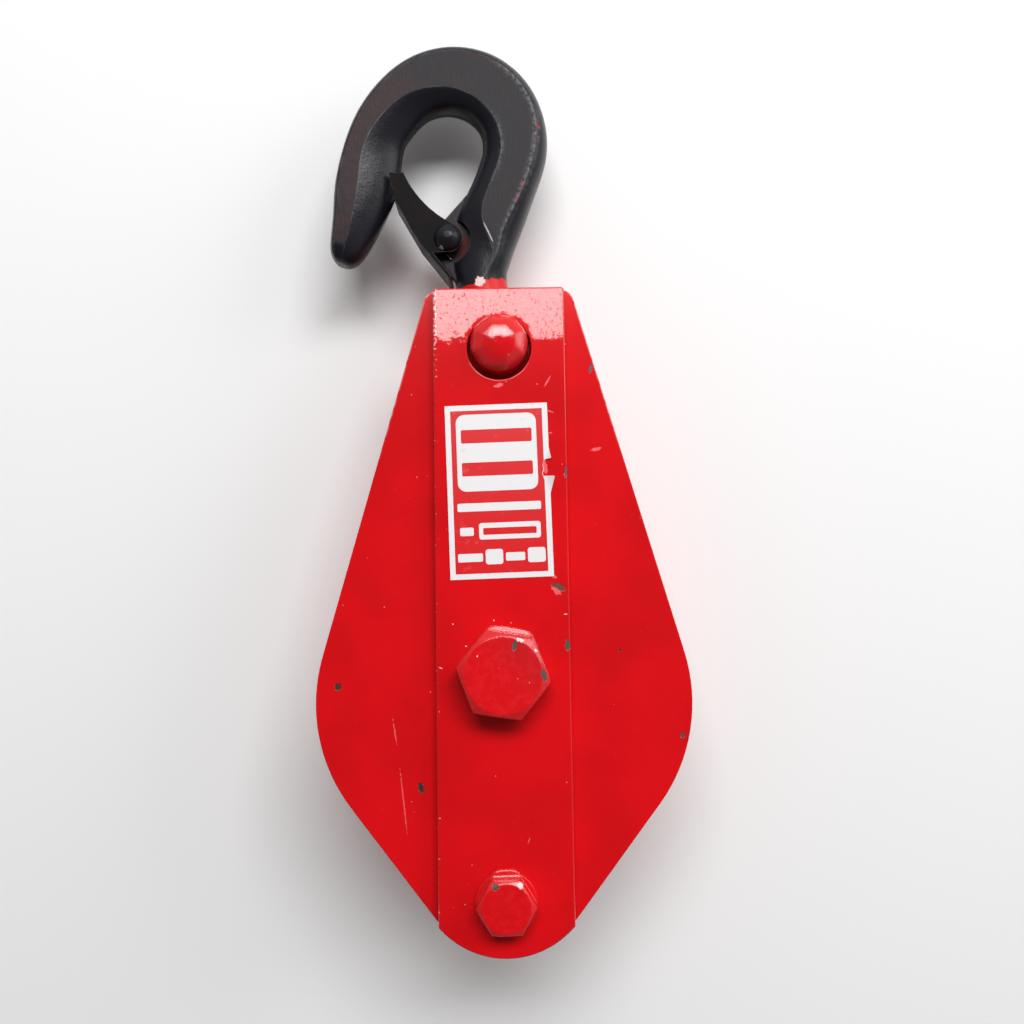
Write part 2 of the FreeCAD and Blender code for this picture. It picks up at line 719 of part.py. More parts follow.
def latch_spring():
    """Double torsion spring: a coil on each side of the lug, joined under the web."""
    wire = spring_wire / 2
    inside = lug_thickness / 2 + spring_side_gap + wire
    outside = latch_inner_width / 2 - spring_side_gap - wire
    travel = outside - inside
    left = -spring_mean_radius
    under_web = -latch_web_offset + latch_web_taper * spring_bar_share + latch_sheet
    bar = Vector(under_web + spring_leg_gap + wire, outside, spring_leg_length)
    pieces = []
    for side in (-1, 1):
        coil = Part.makeHelix(travel / spring_turns, travel, spring_mean_radius)
        coil.rotate(Vector(0, 0, 0), Z_AXIS, 180)
        profile = Part.Wire(Part.makeCircle(wire, Vector(left, 0, 0), Y_AXIS))
        turns = Part.Wire(coil.Edges).makePipeShell([profile], True, True)
        turns.rotate(Vector(0, 0, 0), Vector(1, 0, 0), -90)
        turns.translate(Vector(0, inside, 0))
        short = Vector(left, inside, 0)
        long = Vector(left, outside, 0)
        drop = lug_pocket_radius - spring_leg_gap - 2 * wire
        reach = math.sqrt(drop ** 2 - left ** 2)
        parts = [turns, Part.makeSphere(wire, short), Part.makeSphere(wire, long),
                 Part.makeCylinder(wire, reach, short, Z_AXIS * -1),
                 Part.makeCylinder(wire, (bar - long).Length, long, bar - long),
                 Part.makeSphere(wire, bar), Part.makeCylinder(wire, bar.y, bar, Y_AXIS * -1)]
        pieces += parts if side > 0 else [mirrored_y(part) for part in parts]
    return in_latch(pieces[0].fuse(pieces[1:]))


def label_sticker():
    """Plain label on the front strap."""
    half_width, half_height = label_width / 2, label_height / 2
    corners = [(-half_width, -half_height), (half_width, -half_height),
               (half_width, half_height), (-half_width, half_height)]
    sheet = extruded(polygon(corners), -strap_face - label_thickness, -strap_face)
    sheet.rotate(Vector(0, 0, 0), Y_AXIS, -label_turn)
    sheet.translate(Vector(label_center_x, 0, label_center_height))
    return sheet


def block():
    """Every piece of the pulley block by name."""
    front = {"front_cheek": front_cheek(), "front_strap": front_strap()}
    rear = {name.replace("front", "rear"): mirrored_y(shape) for name, shape in front.items()}
    return {
        "hook": hook(),
        "shank_nut": shank_nut(),
        "shank_split_pin": split_pin(),
        "thrust_washer": thrust_washer(),
        "latch_rivet": latch_rivet(),
        "latch": latch(),
        "latch_spring": latch_spring(),
        "crosshead": crosshead(),
        **front,
        **rear,
        **axle_parts(),
        **tie_parts(),
        "label_sticker": label_sticker(),
        "sheave": sheave(),
        "sheave_bush": sheave_bush(),
    }


def main():
    os.makedirs("parts", exist_ok=True)
    for name, shape in block().items():
        shape.exportStep(f"parts/{name}.step")
        box = shape.BoundBox
        print(f"{name}: {len(shape.Solids)} solid, {shape.Volume / 1000:.1f} cm3, "
              f"{box.XLength:.1f} x {box.YLength:.1f} x {box.ZLength:.1f}, "
              f"{'valid' if shape.isValid() else 'INVALID'}")


main()
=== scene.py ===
"""Looks of a single-sheave pulley block with a swivelling latch hook.

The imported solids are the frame, and each keeps its place. This script gives them
their finishes, and adds what a solid can't show: the printed label with its torn
edge, and the beads of paint round the bolt heads. Metres in the scene, millimetres
in the sizes below. The origin is the centre of the sheave, +Z runs up to the hook
and -Y is the side that the camera sees.
"""

import json
import logging
import math
from dataclasses import dataclass, replace
from enum import Enum

import bmesh
import bpy
from mathutils import Matrix, Vector


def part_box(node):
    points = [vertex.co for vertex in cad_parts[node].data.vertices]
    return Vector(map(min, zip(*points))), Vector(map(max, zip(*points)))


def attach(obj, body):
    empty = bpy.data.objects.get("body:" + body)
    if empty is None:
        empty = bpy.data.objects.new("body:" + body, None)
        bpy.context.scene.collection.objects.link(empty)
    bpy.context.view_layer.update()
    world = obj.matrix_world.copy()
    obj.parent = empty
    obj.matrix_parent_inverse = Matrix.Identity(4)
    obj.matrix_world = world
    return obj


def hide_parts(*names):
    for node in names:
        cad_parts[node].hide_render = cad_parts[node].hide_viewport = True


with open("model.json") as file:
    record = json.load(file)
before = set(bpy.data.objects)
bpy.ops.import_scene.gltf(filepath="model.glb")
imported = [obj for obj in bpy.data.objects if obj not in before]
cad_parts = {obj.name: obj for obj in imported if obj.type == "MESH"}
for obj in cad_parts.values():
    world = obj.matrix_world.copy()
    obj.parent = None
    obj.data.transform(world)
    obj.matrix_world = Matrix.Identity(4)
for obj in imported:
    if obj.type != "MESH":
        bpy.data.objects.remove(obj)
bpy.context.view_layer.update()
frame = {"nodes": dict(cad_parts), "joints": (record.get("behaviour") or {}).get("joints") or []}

MM = 0.001
CORNER_STEPS = 5
HEX_TURN = 60
ACROSS_AXLE = (1.0, 0.0, 1.0)
log = logging.getLogger("pulley_block")

Color = tuple[float, float, float]
Point = tuple[float, float]
Band = tuple[float, float]
Outline = list[Point]
Wave = tuple[float, ...]
Socket = bpy.types.NodeSocket


class Tone(Enum):
    """What shows where paint or dust lies differently: colour and roughness."""

    BARE_STEEL = ((0.075, 0.060, 0.050), 0.5)
    RUBBED = ((0.42, 0.40, 0.40), 0.5)
    SCALE = ((0.035, 0.012, 0.011), 0.7)
    PRIMER = ((0.14, 0.035, 0.028), 0.65)
    # Pale dust; the same pale tone also paints highlights: glints on bolt heads, a reflection on
    # the hook's neck, pale edge lines
    DUST_AND_HIGHLIGHT = ((0.85, 0.62, 0.6), 0.8)
    # Pink scratches; on the axle head this tone also paints part of a highlight
    SCRATCH_AND_HIGHLIGHT = ((0.78, 0.09, 0.1), 0.5)
    OVERSPRAY = ((0.42, 0.006, 0.01), 0.4)
    MAROON = ((0.07, 0.006, 0.008), 0.42)

    @property
    def color(self) -> Color:
        """Base colour, linear."""
        return self.value[0]

    @property
    def roughness(self) -> float:
        """Roughness of the surface there."""
        return self.value[1]


@dataclass(frozen=True)
class Mark:
    """A spot on the front, by its place, width, height and turn, in mm and degrees."""

    x: float
    z: float
    width: float
    height: float
    tone: Tone
    turn: float = 0.0
    y: float = -26.0
    reach: float = 24.0


def toned(tone: Tone, *rows: tuple[float, ...]) -> tuple[Mark, ...]:
    """Marks of one tone, each row the other values of a mark in order."""
    return tuple(Mark(*row[:4], tone, *row[4:]) for row in rows)


@dataclass(frozen=True)
class Patches:
    """Noise patches: wavelength in mm, and the noise where they start and are full."""

    wave: float
    detail: float
    start: float
    full: float
    top: float = 1.0
    roughness: float = 0.5


class Nodes:
    """A node tree under construction, with short calls for its nodes."""

    NUMBER_STEPS = ("LENGTH", "DISTANCE", "DOT_PRODUCT")

    def __init__(self, tree: bpy.types.NodeTree) -> None:
        """Takes hold of a node tree."""
        self.tree = tree
        self.nodes = tree.nodes

    def feed(self, socket: Socket, value: object) -> None:
        """Fills an input.

        Args:
            socket: the input.
            value: a socket, which is linked, or a value, which is set.
        """
        if isinstance(value, Socket):
            self.tree.links.new(value, socket)
        elif isinstance(value, tuple) and len(value) == 3 and socket.type == "RGBA":
            socket.default_value = (*value, 1.0)
        else:
            socket.default_value = value

    def add(self, kind: str, inputs: dict | None = None, **settings: object) -> bpy.types.Node:
        """Adds a node.

        Args:
            kind: the node's type name.
            inputs: values or sockets for its inputs, by name or number.
            settings: the node's own properties.

        Returns:
            The new node.
        """
        node = self.nodes.new(kind)
        for name, value in settings.items():
            setattr(node, name, value)
        for name, value in (inputs or {}).items():
            self.feed(node.inputs[name], value)
        return node

    def math(self, operation: str, first: object, second: object = 0.0) -> Socket:
        """One arithmetic step on two values or sockets."""
        return self.add("ShaderNodeMath", {0: first, 1: second}, operation=operation).outputs[0]

    def chain(self, operation: str, first: object, *others: object) -> Socket:
        """The same arithmetic step on each value in turn.

        Args:
            operation: the step.
            first: what it starts from, a value or socket.
            others: what each step adds to it, at least one.

        Returns:
            The last step's socket.
        """
        for other in others:
            first = self.math(operation, first, other)
        return first

    def times(self, first: object, *others: object) -> Socket:
        """Product of values or sockets."""
        return self.chain("MULTIPLY", first, *others)

    def plus(self, first: object, *others: object) -> Socket:
        """Sum of values or sockets."""
        return self.chain("ADD", first, *others)

    def vector(self, operation: str, first: object, second: object = (0.0, 0.0, 0.0)) -> Socket:
        """One step on two vectors, which gives a number for a length or a dot product."""
        node = self.add("ShaderNodeVectorMath", {0: first, 1: second}, operation=operation)
        return node.outputs["Value" if operation in self.NUMBER_STEPS else 0]

    def level(self, value: object, low: float, high: float, top: float = 1.0,
              base: float = 0.0) -> Socket:
        """A smooth step.

        Args:
            value: what is measured.
            low: where the step starts.
            high: where it ends, on either side of low.
            top: its value from there on.
            base: its value before it.

        Returns:
            The step's socket.
        """
        node = self.add("ShaderNodeMapRange", {
            "Value": value, "From Min": low, "From Max": high, "To Min": base, "To Max": top},
            interpolation_type="SMOOTHSTEP")
        return node.outputs["Result"]

    def blend(self, share: object, first: object, second: object) -> Socket:
        """Mixes two colours.

        Args:
            share: 0 for the first, 1 for the second.
            first: a colour or socket.
            second: a colour or socket.

        Returns:
            The mixed colour's socket.
        """
        node = self.add("ShaderNodeMix", data_type="RGBA")
        for number, value in ((0, share), (6, first), (7, second)):
            self.feed(node.inputs[number], value)
        return node.outputs[2]


class Surface(Nodes):
    """A material under construction."""

    BEVEL_SAMPLES = 8
    MARK_RIM: Band = (1.12, 0.88)
    MARK_WAVE: Wave = (0.9, 3.0)
    MARK_RAGGED = 1.5
    SPECK_CORE = 0.6
    STROKE_OCTAVES = (3.0, 0.6)
    NOISE_MIDDLE = 0.5
    SHARP: Band = (0.9985, 0.992)
    STRAIGHT: Band = (0.975, 0.995)
    THROUGH_PAINT = (Tone.BARE_STEEL, Tone.SCALE, Tone.PRIMER)

    def __init__(self, name: str, roughness: float = 0.5, metallic: float = 0.0) -> None:
        """Starts a material with its plain shader values.

        Args:
            name: the material's name.
            roughness: its roughness, until something varies it.
            metallic: 1 for bare metal, 0 for paint.
        """
        self.material = bpy.data.materials.new(name)
        self.material.use_nodes = True
        super().__init__(self.material.node_tree)
        self.shader = self.nodes["Principled BSDF"]
        self.set("Roughness", roughness)
        self.set("Metallic", metallic)
        self.place = self.add("ShaderNodeTexCoord").outputs["Object"]

    def set(self, socket: str, value: object) -> None:
        """Sets or links one socket of the shader."""
        self.feed(self.shader.inputs[socket], value)

    def noise(self, wave: float, detail: float = 2.0, roughness: float = 0.5,
              place: Socket | None = None) -> Socket:
        """Noise from 0 to 1.

        Args:
            wave: its wavelength, in mm.
            detail: how many finer octaves it has.
            roughness: how strong the finer octaves are.
            place: where it is read, the place on the piece if none is given.

        Returns:
            The noise's socket.
        """
        node = self.add("ShaderNodeTexNoise", {
            "Vector": place or self.place, "Scale": 1.0 / (wave * MM),
            "Detail": detail, "Roughness": roughness})
        return node.outputs["Fac"]

    def wander(self, reach: float, *wave: float) -> Socket:
        """Noise that swings to both sides of zero, half its reach each way."""
        return self.times(self.math("SUBTRACT", self.noise(*wave), self.NOISE_MIDDLE), reach)

    def patches(self, look: Patches) -> Socket:
        """Share of noise patches at each place."""
        noise = self.noise(look.wave, look.detail, look.roughness)
        return self.level(noise, look.start, look.full, look.top)

    def axis(self, number: int) -> Socket:
        """X, Y or Z of the place on the piece, in metres."""
        return self.add("ShaderNodeSeparateXYZ", {0: self.place}).outputs[number]

    def span(self, number: int, ends: Band, top: float = 1.0) -> Socket:
        """A smooth step between two places along an axis, in mm."""
        return self.level(self.axis(number), ends[0] * MM, ends[1] * MM, top)

    def along(self, direction: Vector, origin: Vector) -> Socket:
        """Distance from a point along a direction, in metres."""
        moved = self.vector("SUBTRACT", self.place, tuple(origin))
        return self.vector("DOT_PRODUCT", moved, tuple(direction))

    def spot(self, mark: Mark, ragged: object) -> Socket:
        """Share of a mark at each place: 1 inside it, 0 outside.

        Args:
            mark: the mark.
            ragged: what its rim wanders by.

        Returns:
            The share's socket.
        """
        local = self.add("ShaderNodeMapping", {
            "Vector": self.place,
            "Location": (mark.x * MM, mark.y * MM, mark.z * MM),
            "Rotation": (0.0, -math.radians(mark.turn), 0.0),
            "Scale": (mark.width / 2 * MM, mark.reach * MM, mark.height / 2 * MM)},
            vector_type="TEXTURE").outputs[0]
        return self.level(self.plus(self.vector("LENGTH", local), ragged), *self.MARK_RIM)

    def specks(self, pitch: float, size: float) -> Socket:
        """Small round specks.

        Args:
            pitch: how far apart they lie, in mm.
            size: how wide each is at most, in mm.

        Returns:
            Their share's socket.
        """
        cells = self.add("ShaderNodeTexVoronoi", {
            "Vector": self.place, "Scale": 1.0 / (pitch * MM), "Randomness": 1.0})
        rest = size / 2 / pitch
        return self.level(cells.outputs["Distance"], rest, rest * self.SPECK_CORE)

    def rounded_normal(self, radius: float) -> Socket:
        """Normals as if sharp edges were rounded to a radius in mm."""
        return self.add("ShaderNodeBevel", {"Radius": radius * MM},
                        samples=self.BEVEL_SAMPLES).outputs[0]

    def ridge(self, radius: float) -> Socket:
        """Share of a sharp edge at each place.

        Args:
            radius: how far from the edge it reaches, in mm.

        Returns:
            The share's socket.
        """
        plain = self.add("ShaderNodeNewGeometry").outputs["Normal"]
        alike = self.vector("DOT_PRODUCT", self.rounded_normal(radius), plain)
        return self.level(alike, *self.SHARP)

    def stroke(self, wave: float, stretch: float, turn: float) -> Socket:
        """Noise drawn out into strokes across the front.

        Args:
            wave: their width, in mm.
            stretch: how many times longer than wide they are.
            turn: their turn, in degrees.

        Returns:
            The noise's socket.
        """
        local = self.add("ShaderNodeMapping", {
            "Vector": self.place, "Rotation": (0.0, math.radians(turn), 0.0),
            "Scale": (1.0, 1.0, 1.0 / stretch)}, vector_type="POINT").outputs[0]
        return self.noise(wave, *self.STROKE_OCTAVES, local)

    def facing(self) -> Socket:
        """Share of a face that looks straight to the front or the back.

        Returns:
            The share's socket.
        """
        normal = self.add("ShaderNodeNewGeometry").outputs["Normal"]
        local = self.add("ShaderNodeVectorTransform", {0: normal}, vector_type="NORMAL",
                         convert_from="WORLD", convert_to="OBJECT").outputs[0]
        across = self.math("ABSOLUTE", self.add("ShaderNodeSeparateXYZ", {0: local}).outputs[1])
        return self.level(across, *self.STRAIGHT)

    def dress(self, color: object, marks: tuple[Mark, ...], roughness: float,
              relief: Socket, depth: float, edge: float, rougher: Socket | None = None) -> None:
        """Lays the marks over a colour, and finishes roughness and relief.

        Args:
            color: the undamaged surface's colour.
            marks: the damaged places.
            roughness: the undamaged surface's roughness.
            relief: height of the surface texture, in mm.
            depth: how far the marks lie below the paint, in mm.
            edge: radius that the paint rounds sharp edges to, in mm.
            rougher: what the surface is rougher by in places.
        """
        ragged = self.wander(self.MARK_RAGGED, *self.MARK_WAVE)
        rough: object = roughness if rougher is None else self.plus(roughness, rougher)
        damage: Socket | None = None
        for tone in Tone:
            shares = [self.spot(mark, ragged) for mark in marks if mark.tone is tone]
            if not shares:
                continue
            share = self.chain("MAXIMUM", *shares)
            color = self.blend(share, color, tone.color)
            rough = self.plus(rough, self.times(share, tone.roughness - roughness))
            if tone in self.THROUGH_PAINT:
                damage = share if damage is None else self.math("MAXIMUM", damage, share)
        self.set("Base Color", color)
        self.set("Roughness", rough)
        if damage is not None:
            relief = self.math("SUBTRACT", relief, self.times(damage, depth))
        self.emboss(relief, edge)

    def emboss(self, height: Socket, edge: float) -> None:
        """Turns a height into relief.

        Args:
            height: the height, in mm.
            edge: radius that sharp edges are rounded to, in mm.
        """
        bump = self.add("ShaderNodeBump", {
            "Strength": 1.0, "Distance": MM, "Height": height,
            "Normal": self.rounded_normal(edge)})
        self.set("Normal", bump.outputs[0])


@dataclass(frozen=True)
class RedEnamel:
    """Glossy brushed-on enamel with dust nibs, chips and scratches, in mm."""

    name: str
    marks: tuple[Mark, ...] = ()
    color: Color = (0.70, 0.0045, 0.008)
    shade: Color = (0.60, 0.004, 0.007)
    shaded: Patches = Patches(28.0, 3.0, 0.35, 0.7)
    roughness: float = 0.13
    coat_weight: float = 0.3
    coat_roughness: float = 0.08
    waviness: float = 0.009
    brush_wave: Wave = (5.5, 1.0)
    brush_height: float = 2.5
    peel_wave: float = 1.3
    edge: float = 0.5
    chip_depth: float = 0.12
    nib_pitch: float = 3.6
    nib_size: float = 0.42
    nib_height: float = 0.07
    nib_dust: float = 0.75
    dusty: Patches = Patches(9.0, 2.0, 0.56, 0.62)
    chalk: float = 0.0
    chalked: Patches = Patches(2.6, 4.0, 0.46, 0.64, roughness=0.6)
    chalk_color: Color = (0.76, 0.018, 0.024)
    tilt_line: float = 0.0
    tilt_step: float = 0.25
    tilt_hole: Point = (0.0, 0.0)
    tilt_rim: float = 0.4
    tilt_rim_ragged: float = 0.4
    tilt_deg: float = 4.0
    tilt_wander: tuple[tuple[float, float, float], ...] = ((6.0, 2.4, 3.0), (9.0, 0.7, 2.0))
    tilt_front: Band = (-22.7, -22.95)
    tilt_specks: Patches = Patches(0.75, 2.0, 0.66, 0.62)
    # Pale spots on the strap's left edge: partly rubbed paint, partly painted highlight.
    wear_and_sheen_edge: float = 0.0
    wear_and_sheen_share: float = 0.65
    wear_and_sheen_beside: Band = (0.75, 0.4)
    wear_and_sheen_front: Band = (-19.6, -20.6)
    wear_and_sheen_wave: Wave = (1.2, 3.0)
    wear_and_sheen_from: float = 0.47
    wear_and_sheen_step: float = 0.04
    rarer_below: tuple[tuple[Band, float], ...] = (((114.0, 108.0), 0.15), ((95.0, 80.0), 0.05))
    # The pale rim is a painted highlight along the front's upper edges.
    highlight_rim_above: float = 0.0
    highlight_rim_fade: float = 20.0
    highlight_rim_share: float = 0.4
    highlight_rim_width: float = 0.7
    highlight_rim_front: Band = (-17.1, -17.6)
    highlight_rim_broken: Patches = Patches(3.0, 3.0, 0.38, 0.5)

    def build(self) -> bpy.types.Material:
        """Makes the material.

        Returns:
            The material.
        """
        paint = Surface(self.name, self.roughness)
        color = paint.blend(paint.patches(self.shaded), self.color, self.shade)
        if self.chalk:
            dull = paint.patches(replace(self.chalked, top=self.chalk))
            color = paint.blend(dull, color, self.chalk_color)
        nibs = paint.specks(self.nib_pitch, self.nib_size)
        dust = paint.times(nibs, paint.patches(self.dusty), self.nib_dust)
        color = paint.blend(dust, color, Tone.DUST_AND_HIGHLIGHT.color)
        # pale left edge: partly rubbed paint, partly painted highlight
        if self.wear_and_sheen_edge:
            worn = paint.times(self.edge_wear_and_sheen(paint), self.wear_and_sheen_share)
            color = paint.blend(worn, color, Tone.DUST_AND_HIGHLIGHT.color)
        # painted highlight along the front's upper edges
        if self.highlight_rim_above:
            color = paint.blend(self.highlight_rim(paint), color, Tone.DUST_AND_HIGHLIGHT.color)
        brushed = paint.times(paint.noise(*self.brush_wave), self.waviness * self.brush_height)
        peel = paint.times(paint.noise(self.peel_wave), self.waviness)
        relief = paint.plus(brushed, peel, paint.times(nibs, self.nib_height))
        paint.dress(color, self.marks, self.roughness, relief, self.chip_depth, self.edge)
        paint.set("Coat Weight", self.coat_weight)
        paint.set("Coat Roughness", self.coat_roughness)
        if self.tilt_line:
            self.tilt(paint)
        return paint.material

    def highlight_rim(self, paint: Surface) -> Socket:
        """Painted highlight: a thin pale line along the front's upper edges, broken in places.

        Args:
            paint: the material under construction.

        Returns:
            The line's share.
        """
        start = self.highlight_rim_above
        front = paint.times(paint.ridge(self.highlight_rim_width), paint.span(1, self.highlight_rim_front))
        upper = paint.span(2, (start, start + self.highlight_rim_fade), self.highlight_rim_share)
        return paint.times(front, upper, paint.patches(self.highlight_rim_broken))

    def edge_wear_and_sheen(self, paint: Surface) -> Socket:
        """Pale spots down the left edge, close together at the top and rare below: partly rubbed
        paint, partly painted highlight.

        Args:
            paint: the material under construction.

        Returns:
            The spots' share.
        """
        away = paint.math("ABSOLUTE", paint.plus(paint.axis(0), self.wear_and_sheen_edge * MM))
        near, far = self.wear_and_sheen_beside
        beside = paint.times(paint.level(away, near * MM, far * MM),
                             paint.span(1, self.wear_and_sheen_front))
        rarer = paint.plus(*(paint.span(2, ends, more) for ends, more in self.rarer_below))
        need = paint.plus(self.wear_and_sheen_from, rarer)
        over = paint.math("SUBTRACT", paint.noise(*self.wear_and_sheen_wave), need)
        return paint.times(beside, paint.level(over, 0.0, self.wear_and_sheen_step))

    def tilt(self, paint: Surface) -> None:
        """Leans the surface back above a ragged line, except close round a hole.

        Args:
            paint: the material under construction, with its relief.
        """
        height, radius = self.tilt_hole
        wander = paint.plus(*(
            paint.wander(reach * MM, *wave) for reach, *wave in self.tilt_wander))
        rise = paint.plus(paint.axis(2), wander)
        above = paint.level(rise, (self.tilt_line - self.tilt_step) * MM,
                            (self.tilt_line + self.tilt_step) * MM)
        flat = paint.vector("MULTIPLY", paint.place, ACROSS_AXLE)
        away = paint.vector("DISTANCE", flat, (0.0, 0.0, height * MM))
        outside = paint.level(paint.plus(away, paint.times(wander, self.tilt_rim_ragged)),
                              radius * MM, (radius + self.tilt_rim) * MM)
        share = paint.times(above, outside, paint.span(1, self.tilt_front),
                            paint.patches(self.tilt_specks))
        lean = paint.add("ShaderNodeVectorTransform", {0: (0.0, 0.0, math.tan(
            math.radians(self.tilt_deg)))}, vector_type="VECTOR", convert_from="OBJECT",
            convert_to="WORLD").outputs[0]
        lean = paint.add("ShaderNodeVectorMath", {0: lean, "Scale": share},
                         operation="SCALE").outputs[0]
        bump = paint.shader.inputs["Normal"].links[0].from_node
        soft = bump.inputs["Normal"].links[0].from_socket
        leaned = paint.vector("NORMALIZE", paint.vector("ADD", soft, lean))
        paint.feed(bump.inputs["Normal"], leaned)


@dataclass(frozen=True)
class BlackPaint:
    """Semi-gloss black over a rough forging, with red overspray at its foot, in mm."""

    name: str
    marks: tuple[Mark, ...] = ()
    color: Color = (0.012, 0.0095, 0.0125)
    # Painted shade: faces that don't look to the front or back get a darker, bluer black.
    flank_shade: Color = (0.0085, 0.0085, 0.013)
    tint: Color = (0.026, 0.010, 0.011)
    tinted: Patches = Patches(14.0, 4.0, 0.52, 0.72, 0.6, 0.6)
    roughness: float = 0.30
    flat_roughness: float = 0.26
    gloss: float = 0.28
    grain: float = 0.07
    grain_wave: Wave = (0.9, 4.0, 0.65)
    lumps: float = 0.10
    lump_wave: float = 4.5
    ground: float = 0.11
    ground_stroke: tuple[float, float, float] = (0.6, 7.0, 24.0)
    chip_depth: float = 0.1
    edge: float = 1.0
    # Pale ridge lines: partly rubbed paint, partly painted highlight.
    worn: Color = (0.12, 0.115, 0.125)
    wear_and_sheen_share: float = 0.45
    wear_and_sheen_patches: Patches = Patches(5.0, 4.0, 0.35, 0.65, 1.0, 0.6)
    flush: Band | None = None
    flushed: Color = (0.045, 0.013, 0.015)
    flush_share: float = 0.7
    flush_patches: Patches = Patches(3.0, 5.0, 0.25, 0.7)
    # Painted highlight: a pale band along the ridges of the hook's right arm.
    ridge_highlight: Color = (0.17, 0.165, 0.175)
    ridge_highlight_right_of: float | None = None
    ridge_highlight_fade: float = 8.0
    ridge_highlight_width: float = 3.4
    ridge_highlight_share: float = 0.75
    ridge_highlight_patches: Patches = Patches(1.5, 3.0, 0.36, 0.60)
    red: Color = (0.62, 0.005, 0.009)
    red_below: float | None = None
    red_step: Band = (0.3, -0.1)
    red_wave: Wave = (2.6, 3.0)
    red_wander: float = 3.6

    def build(self) -> bpy.types.Material:
        """Makes the material.

        Returns:
            The material.
        """
        paint = Surface(self.name, self.roughness)
        paint.set("Specular IOR Level", self.gloss)
        flat = paint.facing()
        color = paint.blend(paint.patches(self.tinted), self.color, self.tint)
        # painted shade on the flanks
        color = paint.blend(flat, self.flank_shade, color)
        if self.flush is not None:
            share = paint.times(paint.span(0, self.flush, self.flush_share),
                                paint.patches(self.flush_patches), flat)
            color = paint.blend(share, color, self.flushed)
        # pale ridge lines: partly rubbed paint, partly painted highlight
        rubbed = paint.times(paint.ridge(self.edge), paint.patches(self.wear_and_sheen_patches),
                             self.wear_and_sheen_share)
        color = paint.blend(rubbed, color, self.worn)
        # painted highlight along the ridges on the right
        if self.ridge_highlight_right_of is not None:
            start = self.ridge_highlight_right_of
            side = paint.span(0, (start, start + self.ridge_highlight_fade), self.ridge_highlight_share)
            share = paint.times(paint.ridge(self.ridge_highlight_width), side,
                                paint.patches(self.ridge_highlight_patches))
            color = paint.blend(share, color, self.ridge_highlight)
        if self.red_below is not None:
            color = paint.blend(self.oversprayed(paint, self.red_below), color, self.red)
        pores = paint.times(paint.noise(*self.grain_wave), self.grain)
        lumps = paint.times(paint.noise(self.lump_wave), self.lumps)
        strokes = paint.times(paint.stroke(*self.ground_stroke), flat, self.ground)
        relief = paint.plus(pores, lumps, strokes)
        paint.dress(color, self.marks, self.roughness, relief, self.chip_depth, self.edge,
                    paint.times(flat, self.flat_roughness))
        return paint.material

    def oversprayed(self, paint: Surface, top: float) -> Socket:
        """Share of red enamel on the shank, up to a ragged line.

        Args:
            paint: the material under construction.
            top: the line's height over the hook's swivel.

        Returns:
            The enamel's share.
        """
        rise = paint.along(HOOK.up, HOOK.origin)
        ragged = paint.times(paint.noise(*self.red_wave), self.red_wander * MM)
        above, below = self.red_step
        return paint.level(paint.plus(rise, ragged), (top + above) * MM, (top + below) * MM)


@dataclass(frozen=True)
class BareMetal:
    """Uncoated metal with fine working lines and darker stains, in mm."""

    name: str
    color: Color = (0.34, 0.33, 0.31)
    stain: Color = (0.12, 0.085, 0.06)
    stained: Patches = Patches(6.0, 4.0, 0.48, 0.72, 0.5, 0.6)
    stain_roughness: float = 0.3
    roughness: float = 0.36
    metallic: float = 1.0
    lines: float = 0.006
    line_wave: float = 1.2
    line_stretch: tuple[float, float, float] = (0.15, 6.0, 0.15)
    edge: float = 0.25

    def build(self) -> bpy.types.Material:
        """Makes the material.

        Returns:
            The material.
        """
        metal = Surface(self.name, self.roughness, self.metallic)
        worn = metal.patches(self.stained)
        metal.set("Base Color", metal.blend(worn, self.color, self.stain))
        metal.set("Roughness", metal.plus(self.roughness, metal.times(
            worn, self.stain_roughness)))
        stretched = metal.add("ShaderNodeMapping", {
            "Vector": metal.place, "Scale": self.line_stretch}, vector_type="POINT").outputs[0]
        lines = metal.noise(self.line_wave, place=stretched)
        metal.emboss(metal.times(lines, self.lines), self.edge)
        return metal.material


@dataclass(frozen=True)
class CastIron:
    """Sheave iron: sand-cast web, with hub faces and rope groove turned bright, in mm."""

    name: str
    skin: Color = (0.085, 0.078, 0.07)
    bright: Color = (0.30, 0.29, 0.27)
    rust: Color = (0.16, 0.06, 0.025)
    rusted: Patches = Patches(8.0, 5.0, 0.52, 0.7, 0.6, 0.65)
    metallic: float = 0.75
    roughness: float = 0.62
    turned_gloss: float = 0.28
    groove_radius: float = 40.5
    hub_radius: float = 22.5
    turned_step: float = 0.6
    sand_wave: Wave = (1.1, 3.0)
    sand_height: float = 0.12
    ring_radians_per_metre: float = 9000.0
    ring_height: float = 0.004
    edge: float = 0.5

    def build(self) -> bpy.types.Material:
        """Makes the material.

        Returns:
            The material.
        """
        iron = Surface(self.name, self.roughness, self.metallic)
        radius = iron.vector("LENGTH", iron.vector("MULTIPLY", iron.place, ACROSS_AXLE))
        rim = iron.level(radius, self.groove_radius * MM,
                         (self.groove_radius + self.turned_step) * MM)
        hub = iron.level(radius, self.hub_radius * MM, (self.hub_radius - self.turned_step) * MM)
        turned = iron.math("MAXIMUM", rim, hub)
        color = iron.blend(turned, self.skin, self.bright)
        iron.set("Base Color", iron.blend(iron.patches(self.rusted), color, self.rust))
        iron.set("Roughness", iron.math("SUBTRACT", self.roughness, iron.times(
            turned, self.turned_gloss)))
        cast = iron.times(iron.noise(*self.sand_wave), self.sand_height)
        rings = iron.math("SINE", iron.times(radius, self.ring_radians_per_metre))
        relief = iron.plus(iron.times(cast, iron.math("SUBTRACT", 1.0, turned)),
                           iron.times(rings, turned, self.ring_height))
        iron.emboss(relief, self.edge)
        return iron.material


